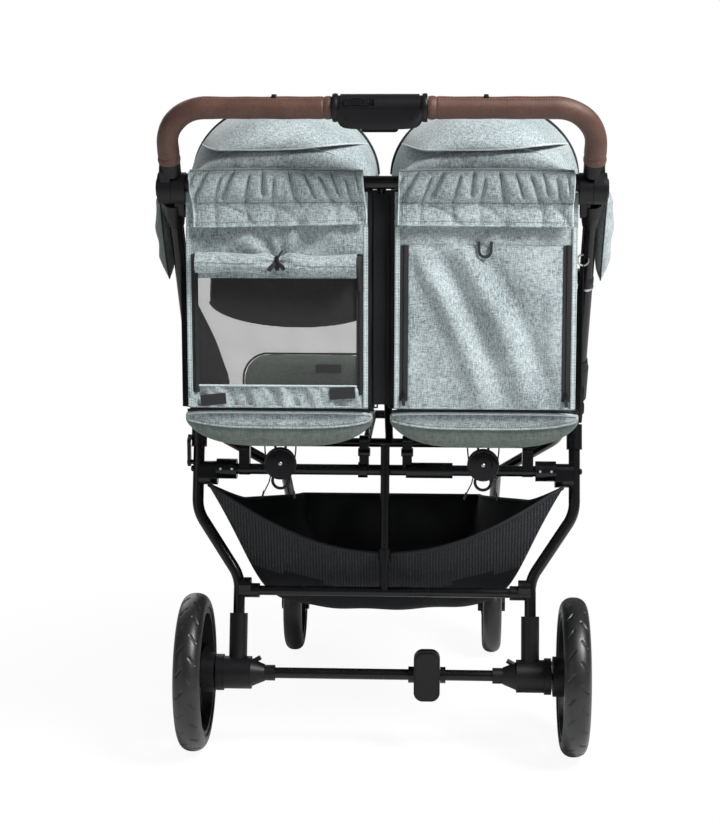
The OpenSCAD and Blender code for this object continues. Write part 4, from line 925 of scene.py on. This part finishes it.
def net_window():
    """Net of the open window: flat yarns 0.46 mm wide, 1.5 mm apart both ways, each bowed 1.2 mm inwards at
    the window's middle with a cosine both ways. The real net is finer and is drawn this coarse to show."""
    pitch, yarn = 1.5, 0.46
    strands = []
    for low, high, other_low, other_high, upright in ((-WINDOW_W, WINDOW_W, WINDOW_LOW, WINDOW_TOP, True),
                                                      (WINDOW_LOW, WINDOW_TOP, -WINDOW_W, WINDOW_W, False)):
        places = np.arange(low + pitch / 2, high, pitch)
        run = np.linspace(other_low - 1, other_high + 1, 13)
        place, reach = np.meshgrid(places, run, indexing="ij")
        corner = np.array([(-1, -1), (1, -1), (1, 1), (-1, 1)]) * yarn / 2
        a = place[..., None] + corner[:, 0]
        b = np.broadcast_to(reach[..., None], a.shape)
        x, z = (a, b) if upright else (b, a)
        sink_x = np.cos(np.clip(x / WINDOW_W, -1, 1) * math.pi / 2)
        sink_z = np.cos(np.clip((z - 716) / 83, -1, 1) * math.pi / 2)
        y = PANEL_FACE + 1.2 * sink_x * sink_z + corner[:, 1] * 0.6 + (0.15 if upright else -0.15)
        points = at(x - SEAT_X, y, z)
        one = cells(13, 4, wrap_cols=True)
        if not upright:
            one = one[:, ::-1]
        faces = (one + 52 * np.arange(len(places))[:, None, None]).reshape(-1, 4)
        strands.append((shaped(points, faces.tolist()), NET_YARN))
    piece("window_net", "main_frame", *strands, slot="fabric_sage")


def rolled_flap():
    """The flap rolled up under the panel's top and tied at its middle: a round section carried across,
    drawn in at the tie, drooping to the right, with a spiral lip and pleats that run to the tie."""
    u = np.linspace(-1, 1, 150)
    a = turns(64)
    tie = hill(u - 0.02, 0.075)
    size = 14.8 + 1.2 * u + 1.0 * np.sin(6 * u + 1) - 4.4 * tie - 3.0 * hill(u - 0.02, 0.2)
    pleat = 2.6 * hill(np.abs(u - 0.02) - 0.13, 0.12)
    spread_out = 1 + 0.18 * np.cos(a - 0.6)[None] ** 2
    wave = pleat[:, None] * np.sin(7 * a)[None] + 0.5 * np.sin(3 * a[None] + 9 * u[:, None])
    lip = 1.6 * (a / (2 * np.pi))[None] * (1 - 0.6 * tie)[:, None]
    radius = np.maximum(size[:, None] * spread_out + wave + lip - 0.8, 6.5)
    droop = 822 - 2.5 * u - 2.0 * hill(u - 0.55, 0.3) + 1.5 * tie
    roll = tube(at(u * 122 - SEAT_X, ROLL_Y, droop), ring_of(radius, 64))
    dark_ends = []
    for end in (-1, 1):
        cap = [(end * 121 - SEAT_X, ROLL_Y, 822 - 2.5 * end), (end * 127 - SEAT_X, ROLL_Y, 821 - 2.5 * end)]
        dark_ends.append((rope(even(cap, 2), 14.2 + 1.2 * end, 30), BLACK_TAPE))
    t = np.linspace(0, 2 * np.pi, 33)
    loop = at(TIE_X, ROLL_Y + 10.6 * np.cos(t), 823.4 + 10.6 * np.sin(t))
    hook = [(TIE_X, -420.0, 824), (4 - SEAT_X, -423.4, 832), (8 - SEAT_X, -423.6, 839),
            (11 - SEAT_X, -421.5, 843)]
    tails = []
    for s, drop in ((-1, 10), (1, 8)):
        tail = [(TIE_X, -421.5, 823), (TIE_X + s * 6, -424.5, 821), (TIE_X + s * 12, -424.5, 823 - drop)]
        tails.append((tube(curve(tail, 9), lath(2.2, 6.5)), BLACK_TAPE))
    piece("flap_tie", "main_frame", (tube(loop, lath(2.0, 6.0)), BLACK_TAPE),
          (rope(even(hook, 1.5), 1.6, 10), BLACK_TAPE), *tails,
          (block((TIE_X, -421.2, 822), (9, 5, 13), 0.5), PLASTIC), slot="fabric_black")
    made = piece("rolled_flap", "main_frame", (roll, SAGE), *dark_ends, slot="fabric_sage")


def panel_right():
    """Right rear panel with its flap closed: three soft folds run down from left to right and a faint
    crease lies near the foot. Zips run down both sides between stitched bindings."""
    v, u = spread(0.0, 1.0, 90, -1.0, 1.0, 110)
    z = mix(PANEL_LOW, PANEL_TOP, v)
    x = u * PANEL_W
    middle = 1 - ease((np.abs(u) - 0.7) / 0.14)
    inside = middle * np.sin(math.pi * np.clip((z - PANEL_LOW) / 262, 0, 1)) ** 0.6
    down = (872 - z) / 262
    line = (u + 1) / 2 - 0.44 * down - 0.05 * np.sin(3 * down)
    fold = 9.0 * hill(line - 0.04, 0.06) - 6.0 * hill(line - 0.16, 0.05) + 9.0 * hill(line - 0.29, 0.06)
    fold = fold - 5.0 * hill(line - 0.42, 0.055) + 4.0 * hill(line - 0.62, 0.11) + 1.5 * np.sin(5 * u + 2.2)
    fold = fold + 1.0 * np.sin(11 * u + 9 * down) + 0.8 * np.sin(17 * down - 6 * u)
    crease = 1.4 * hill(z - 649 - 3 * u, 2.5) * np.clip(1 - np.abs(u) ** 6, 0, 1)
    step = 1.8 * ease((847 - z) / 4) * (1 - ease((np.abs(u) - 0.84) / 0.03))
    y = -393.0 - fold * inside + crease - step + 1.5 * hill(z - PANEL_LOW, 10)
    points = at(x + SEAT_X, y, z)
    trim = []
    for s in (-1, 1):
        line = [(SEAT_X + s * 124.0, -396.0, 612), (SEAT_X + s * 123.0, -396.0, 850)]
        trim += zip_line(line, 13.0)
        trim += pull_tab(SEAT_X + s * 124.0, -397.8, 620, 15)
        line = [(SEAT_X + s * 134.5, -395.8, PANEL_LOW + 1), (SEAT_X + s * 133.5, -396.0, 878)]
        trim += bound_edge(line, 7.5, 2.4, 1.1)
    seam = at(np.linspace(-130, 130, 60) + SEAT_X, -394.6, 851.0)
    trim.append((stitches(seam, 4.5), THREAD))
    t = np.linspace(0, math.pi, 15)
    bow = at(SEAT_X - 1.5 - 9 * np.cos(t), -399.0, 842 - 9 * np.sin(t))
    loop = np.vstack([(SEAT_X - 11, -397.4, 856), bow, (SEAT_X + 8, -397.4, 856)])
    trim.append((tube(even(loop, 2), lath(1.4, 4.5)), BLACK_TAPE))
    foot = at(np.linspace(-PANEL_W, PANEL_W, 80) + SEAT_X, -392.8, PANEL_LOW + 0.8)
    trim.append((rope(foot, 1.9, 8), SAGE))
    edging = piece("panel_trim_right", "main_frame", *trim, slot="fabric_black")
    # The panel's inner face is the darker sage: painted shade
    made = piece("panel_right", "main_frame", (cloth(points[:, ::-1], 1.8), SHADED_SAGE, SAGE),
                 stands_for=("rear_panel_right",), slot="fabric_sage")


panel_left()
panel_right()


# Seats

def on_back(x, t, lift, side):
    """World point of a place on a backrest: across x, t along it from the hip, lift above its plane."""
    y = HIP[0] - t * math.cos(BACK_RISE) + lift * math.sin(BACK_RISE)
    z = HIP[1] + t * math.sin(BACK_RISE) + lift * math.cos(BACK_RISE)
    return at(side * SEAT_X + x, y, z)


# Section of a backrest's end roll: share of its depth along the backrest, lift above its plane, and how
# far it hangs at the middle. From the seventh row to the thirteenth, its underside, it is the darker sage as
# painted shade.
END_ROLL = [
    (0.0, 20.0, 0.0), (0.35, 23.5, 0.0), (0.75, 23.0, 0.0), (1.0, 18.0, 0.0), (1.06, 12.0, -1.0),
    (1.07, 6.0, -3.0), (1.04, 0.0, -6.0), (0.88, -5.0, -13.0), (0.66, -8.0, -21.0), (0.4, -9.0, -28.0),
    (0.14, -8.0, -26.0), (0.0, -4.0, -16.0), (-0.05, 6.0, -2.0), (-0.03, 14.0, 0.0),
]


def backrest(name, side):
    """Backrest: a crowned pad, and the boat shaped end roll that shows from behind, with two piped edges, a
    stitched face and an underside that bows down to the middle and narrows to raised corners."""
    body = "backrest_" + name
    t, u = spread(18.0, 390.0, 40, -1.0, 1.0, 36)
    half = mix(106.0, 129.0, ease((t - 196) / 104))
    edge = (1 - np.abs(u) ** 5) * (1 - np.abs((t - 204) / 187) ** 8)
    top = on_back(u * half, t, 13.0 + 15.0 * edge, side)
    under = on_back(u * half, t, 9.5 - 1.5 * edge + 0 * u, side)
    # The pad's underside is the darker sage: painted shade
    pad = piece("backrest_cover_" + name, body, (shell(top[:, ::-1], under[:, ::-1]), SAGE, SHADED_SAGE),
                slot="fabric_sage")
    stuffed(pad, 5.0)
    # End roll: a closed section carried from corner to corner, fuller towards the middle
    c = np.linspace(-1, 1, 101)
    boat = np.clip((1 - np.abs(c) ** 3.6) ** 0.7, 0.03, 1)
    depth_t = 7.0 + 18.0 * boat
    rise = 4.0 * np.abs(c) ** 3
    section = []
    for share, lift, hang in END_ROLL:
        along = 418.0 - depth_t + share * depth_t
        lift = 6.0 + (lift - 6.0) * (0.35 + 0.65 * boat) + hang * boat
        section.append(on_back(c * 145, along, lift + rise, side))
    ring = np.stack(section, axis=1)
    roll = fanned(ring)
    column = np.arange((len(c) - 1) * len(section)) % len(section)
    # Rows seven to thirteen face down and get the darker sage: painted shade
    roll["paint"][:len(column)] = (column >= 6) & (column <= 11)
    end = piece("backrest_end_" + name, body, (roll, SAGE, SHADED_SAGE), slot="fabric_sage", smooth=60)
    finer = end.modifiers.new("smooth cover", "SUBSURF")
    finer.levels = finer.render_levels = 1
    trim = []
    for index, radius, coat in ((3, 2.4, BINDING), (6, 1.6, SAGE)):
        line = ring[1:-1, index] + (0, -1.2, 0)
        trim.append((rope(even(line, 4), radius, 8), coat))
    trim.append((stitches(ring[3:-3, 6] + (0, -1.8, 3.0), 5.0, 0.6, 0.7), THREAD))
    # Black tube along the end roll's top, seen through the gap under the panel's foot: a dark strip that
    # stands in for the shadow in that gap
    trim.append((rope(even(ring[1:-1, 3] + (0, 0.6, 4.6), 4), 2.4, 8), BLACK_TAPE))
    piece("backrest_piping_" + name, body, *trim, stands_for=("backrest_pad_" + name,), slot="fabric_sage")


def seat_pad(name, side):
    """Seat pad: flat below, crowned above, its sides drawn in between the corners, and a channel across."""
    v, u = spread(53.0, 254.0, 34, -1.0, 1.0, 40)
    mid = (v - 153.5) / 100.5
    half = 131.0 - 3.0 * (1 - mid ** 4)
    edge = (1 - np.abs(u) ** 6) * (1 - np.abs(mid) ** 6)
    channel = 3.0 * hill(v - 120, 5.0)
    x, y = side * SEAT_X + u * half, v - 3 * (1 - u ** 4) * mid
    top = at(x, y, 493 + 15 * edge - channel * edge)
    under = at(x, y, 488.0)
    # The pad's underside is the darker sage: painted shade
    pad = piece("seat_cushion_" + name, "main_frame", (shell(top, under), SAGE, SHADED_SAGE),
                stands_for=("seat_pad_" + name,), slot="fabric_sage")
    stuffed(pad, 3.0)
    seam = at(side * SEAT_X + np.linspace(-122, 122, 60), 120.0, 506.0)
    piece("seat_cushion_stitching_" + name, "main_frame", (stitches(seam, 5.0), THREAD), slot="fabric_sage")


def leg_rest(name, side):
    """Raised leg rest: a padded board with round upper corners. Its rings are the outline drawn in by a
    share, and the pad's crown rises with one less the share's fifth power. A bare sewn patch lies on its
    rear face."""
    body = "leg_rest_" + name
    corner, half, low, high = 48.0, 128.0, 14.0, 117.0
    a = np.linspace(0, math.pi / 2, 14)
    right = np.stack([half - corner + corner * np.cos(a), high - corner + corner * np.sin(a)], axis=-1)
    left = right[::-1] * (-1, 1)
    foot = np.linspace((-half, low), (half, low), 26)
    right_edge = np.linspace((half, low), (half, high - corner), 6)
    top = np.linspace((half - corner, high), (corner - half, high), 20)
    left_edge = np.linspace((-half, high - corner), (-half, low), 6)
    outline = np.concatenate([run[:-1] for run in (foot, right_edge, right, top, left, left_edge)])
    middle = np.array([0.0, (low + high) / 2])
    share = np.array([0.04, 0.25, 0.5, 0.7, 0.85, 0.95, 1.0])
    flat = middle + share[:, None, None] * (outline - middle)
    crown = (1 - share ** 5)[:, None] * np.ones(len(outline))
    x, z = flat[..., 0] + side * SEAT_X, flat[..., 1] + CALF[1]
    rear = at(x, CALF[0] - 6.0 - 13.0 * crown, z)
    front = at(x, CALF[0] + 3.5 + 4.0 * crown, z)
    pad = lidded(np.concatenate([rear, front[::-1]])[:, ::-1])
    cover = piece("leg_rest_cover_" + name, body, (pad, LEG_LINING), stands_for=("leg_rest_" + name,),
                  slot="fabric_sage")
    stuffed(cover, 3.0)
    v, u = spread(-1.0, 1.0, 6, -1.0, 1.0, 10)
    patch = at(side * SEAT_X + 36 + u * 24, 261.4 + 0.5 * u ** 2 + 0 * v, 569 + 8 * v)
    barrels = []
    for x in (-76, 76):
        line = [(side * SEAT_X + x - 14.5, *CALF), (side * SEAT_X + x + 14.5, *CALF)]
        barrels.append((rope(even(line, 4), 12, 28), PLASTIC))
    hem = rope(np.vstack([rear[-1] + (0, 2, 0), rear[-1][:2] + (0, 2, 0)]), 2.0, 8)
    piece("leg_rest_trim_" + name, body, *barrels, (hem, BLACK_TAPE), (cloth(patch, 1.2), BLACK_CLOTH),
          slot="plastic_black")


for side_name, side_sign in SIDES.items():
    backrest(side_name, side_sign)
    seat_pad(side_name, side_sign)
    leg_rest(side_name, side_sign)


# Basket

def basket():
    """Basket: a lofted tub of black cloth. Stops a and b run from -1 to 1 across and along it; the floor
    bulges down, the walls rise with the ninth power of the larger stop, and the rear hem sags to its
    middle."""
    b, a = spread(-1.0, 1.0, 100, -1.0, 1.0, 130)
    a, b = (np.sign(stop) * (1 - (1 - np.abs(stop)) ** 1.6) for stop in (a, b))
    rim_w = mix(258.0, 168.0, ease((b + 1) * 0.55))
    edge = np.maximum(np.abs(a), np.abs(b)) ** 9
    x = rim_w * a * (1 - (0.1 - 0.08 * edge ** 2) * b ** 6)
    y = mix(-195.4, 185.0, (b + 1) / 2) + 0 * a
    ripple = 2.2 * np.sin(14 * a + 3 * np.sin(3 * b)) * (1 - b ** 2) + 1.6 * np.sin(9 * b + 4 * a)
    floor = 207 + 22 * a ** 2 + 16 * b ** 2 - 14 * (1 - a ** 2) * (1 - b ** 2) + ripple
    rim = mix(410.0, 342.0, (b + 1) / 2) - 88 * (1 - a ** 2) * ease(-b)
    ear = np.abs(a) ** 7 * ease((-b - 0.5) / 0.5) * edge
    x = x + np.sign(a) * 40 * ear
    z = mix(floor, rim, edge) + 26 * ear
    fold = 2.4 * np.sin(math.pi * np.clip(edge, 0, 1)) * np.sin(11 * a + 2 * b) * np.sign(b)
    points = at(x, y + fold * (np.abs(b) > np.abs(a)), z)
    body = cloth(points, 2.4)
    behind = body["points"][np.array(body["faces"])].mean(axis=1)[:, 1]
    body["paint"] = (behind < -178).astype(int)
    made = piece("basket_cloth", "rear_legs", (body, BLACK_CLOTH, BLACK_NET), stands_for=("basket",),
                 slot="fabric_black")
    rim_line = points.reshape(-1, 3)[rim_of(100, 130)]
    hem = rope(np.vstack([rim_line, rim_line[:2]]), 3.2, 8)
    trim = piece("basket_hem", "rear_legs", (hem, BLACK_TAPE), slot="fabric_black")
    for soft in (made, trim):
        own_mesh(soft)


basket()


# Tyres

def tyre(node, body, depth, marks):
    """Tyre on its rim: a round crown on a bead groove, turned about the wheel's axle. The crown's radius
    falls with a power of the distance from its middle, and slanted grooves are pressed in, in two rows
    round the tread."""
    low, high = (np.array(corner) * 1000 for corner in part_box(node))
    middle = (low + high) / 2
    radius, half = (high[2] - low[2]) / 2, (high[0] - low[0]) / 2
    bead = radius - depth
    a = np.linspace(-1, 1, 56)
    wide = half * np.sin(a * math.pi / 2)
    crown = bead + 2 + (depth - 2) * (1 - np.abs(wide / half) ** 2.3).clip(0) ** (1 / 2.3)
    groove = 4.1
    inner_w = np.array([half - 1, half - 8, half - 8, 8 - half, 8 - half, 1 - half])
    inner_r = bead + np.array([0, 0, groove, groove, 0, 0])
    count = 640 if marks else 160
    turn = turns(count)[:, None]
    pressed = np.zeros((count, len(wide)))
    for s in (-1, 1):
        lap = (turn * marks / (2 * np.pi) + 0.25 * (1 + s)) % 1 - 0.5
        run = lap * 2 * np.pi * radius / max(marks, 1)
        off = wide - s * 0.46 * half
        lean = s * math.radians(52)
        beside = run * math.cos(lean) + off * math.sin(lean)
        ahead = off * math.cos(lean) - run * math.sin(lean)
        pressed = pressed + np.exp(-(beside / 1.5) ** 4) * np.exp(-(ahead / (0.4 * half)) ** 8)
    r = np.concatenate([crown - 1.8 * np.sign(marks) * pressed, np.broadcast_to(inner_r, (count, 6))],
                       axis=1)
    w = np.broadcast_to(np.concatenate([wide, inner_w]), r.shape)
    points = at(middle[0] + w, middle[1] + r * np.sin(turn), middle[2] + r * np.cos(turn))
    faces = cells(*points.shape[:2], wrap_rows=True, wrap_cols=True).tolist()
    piece("tyre_" + body, body, (shaped(points, faces), RUBBER), stands_for=(node,), slot="tyre_rubber")


for side_name in SIDES:
    tyre("rear_tyre_" + side_name, "rear_wheel_" + side_name, 24.0, 22)
    tyre("front_tyre_" + side_name, "front_wheel_" + side_name, 20.0, 0)


# Small hardware

def round_line(x, y, z, radius, start, end, count):
    """Points of an arc about a centre, from one angle to another, in the upright plane across."""
    a = np.radians(np.linspace(start, end, count))
    return at(x + radius * np.cos(a), y, z + radius * np.sin(a))


def recline_trim(name, side):
    """Trim of a recline disc: raised rim, centre screw, finger ring and two webbing ends below, and the
    elastic cord that loops from the disc up to the backrest on both sides."""
    body = "backrest_" + name
    x0, (y0, z0) = side * SEAT_X, DISC
    parts = [(rope(round_line(x0, y0 - 5.4, z0, 23.6, 0, 360, 49), 1.4, 8), PLASTIC),
             (rope([(x0, y0 - d, z0) for d in (3.4, 4.6, 5.6, 6.2)], (3.4, 3.4, 2.8, 1.2), 20), STEEL)]
    bow = round_line(x0, y0 - 1.5, z0 - 27, 12.5, 150, 390, 30)
    ring = np.vstack([bow, [(x0 + dx, y0 - 1.5, z0 - dz) for dx, dz in ((9, 18.5), (0, 19.5), (-9, 18.5))]])
    parts.append((rope(even(np.vstack([ring, ring[:2]]), 2.0), 2.4, 10), PLASTIC))
    for s, lean in ((-1, -8.0), (1, 3.0)):
        end = [(x0 + s * 15, y0 - 1, z0 - 18), (x0 + s * 18, y0 - 2, z0 - 30),
               (x0 + s * 18 + lean, y0 - 2, z0 - 46)]
        parts.append((tube(even(end, 3), lath(4.6, 1.8)), BLACK_TAPE))
        tip = [(x0 + s * 18 + lean, y0 - 2, z0 - 44), (x0 + s * 18 + 1.4 * lean, y0 - 2, z0 - 55)]
        parts.append((tube(even(tip, 2), lath(6.0, 3.0)), PLASTIC))
    piece("recline_disc_trim_" + name, body, *parts, slot="plastic_black")
    for s, word in ((-1, "a"), (1, "b")):
        t = np.linspace(0, 1, 33)[:, None]
        a, b, c, d = np.array([(s * 7, 1.0, 18), (s * 13, 2.0, 52), (s * 30, 2.0, 52), (s * 22.5, 0.0, 8)])
        bend = (1 - t) ** 3 * a + 3 * t * (1 - t) ** 2 * b + 3 * t ** 2 * (1 - t) * c + t ** 3 * d
        line = bend + (x0, y0, z0)
        cord = piece("recline_cord_%s_%s" % (name, word), body, (rope(line, 1.2, 10), BLACK_TAPE),
                     slot="fabric_black")


def side_gusset(name, side):
    """Black cloth that closes both sides of a seat: a long triangle from the rear panel's edge to a point
    beside the seat, whose rows run from its sloping upper edge to its foot. It draws in towards the seat
    going forward, and the inner one reaches up to the crossbar."""
    for s, word in ((-1, "a"), (1, "b")):
        down, c = spread(0.0, 1.0, 24, 0.0, 1.0, 40)
        upper = mix(822.0, 560.0, c) - 12 * np.sin(math.pi * c) - 42 * ease((c - 0.82) / 0.18) ** 2
        if s * side < 0:
            upper = upper + 100 * (1 - ease(c / 0.33))
        lower = mix(600.0, 513.0, c)
        y = mix(-388.5, 96.0, c) + 0 * down
        hollow = 1.4 * np.sin(math.pi * c) * np.sin(math.pi * down)
        x = side * SEAT_X + s * (mix(147.6, 128.0, ease(c / 0.6)) - hollow)
        points = at(x, y, mix(upper, lower, down))
        made = piece("side_gusset_%s_%s" % (name, word), "main_frame", (cloth(points, 1.2), BLACK_CLOTH),
                     slot="fabric_black")


def centre_web():
    """Black cloth that closes the gap between the two rear panels, hollowed forward along its middle."""
    v, u = spread(604.0, 932.5, 40, -1.0, 1.0, 9)
    y = -387.5 + 5.0 * (1 - u ** 2) + 0.8 * np.sin(v / 21.0)
    points = at(20.2 * u, y, v)
    made = piece("centre_web", "main_frame", (cloth(points[:, ::-1], 1.2), BLACK_CLOTH),
                 slot="fabric_black")


def frame_trim():
    """Bolts and rings on the frame: domed bolt heads on the legs at the rear crossbar, bolts on the
    crossbar's brackets, and a bright ring with a hanging loop on the right side tube."""
    legs, tubes = [], []
    for side in (-1, 1):
        for x, r in ((324.0, 5.0), (302.0, 4.0)):
            out = side * (1 if x > 310 else -1)
            dome = [(side * x + out * d, *CROSS) for d in (0, 2.0, 3.4, 4.0)]
            legs.append((rope(dome, r * np.array([1.0, 1.0, 0.75, 0.2]), 18), PLASTIC))
        for x in (257, 276):
            screw = [(side * x, CROSS[0] - 16.6, CROSS[1] + 3), (side * x, CROSS[0] - 18.0, CROSS[1] + 3)]
            legs.append((rope(screw, (2.6, 2.0), 14), STEEL))
    way = unit(HINGE - HUB)
    for low, high, r, coat in ((262, 267, 12.6, STEEL), (268, 284, 12.2, PLASTIC)):
        line = [(SIDE_X, *(HUB + way * d)) for d in np.linspace(low, high, 5)]
        tubes.append((rope(line, r * np.array([0.93, 1, 1, 1, 0.93]), 30), coat))
    hook = round_line(SIDE_X - 8, HUB[0] + way[0] * 318 - 14, HUB[1] + way[1] * 318, 8.5, 0, 360, 41)
    tubes.append((rope(hook, 1.5, 8), STEEL))
    piece("leg_bolts", "rear_legs", *legs, slot="steel_pin")
    piece("side_tube_rings", "main_frame", *tubes, slot="steel_pin")


for side_name, side_sign in SIDES.items():
    recline_trim(side_name, side_sign)
    side_gusset(side_name, side_sign)
centre_web()
frame_trim()
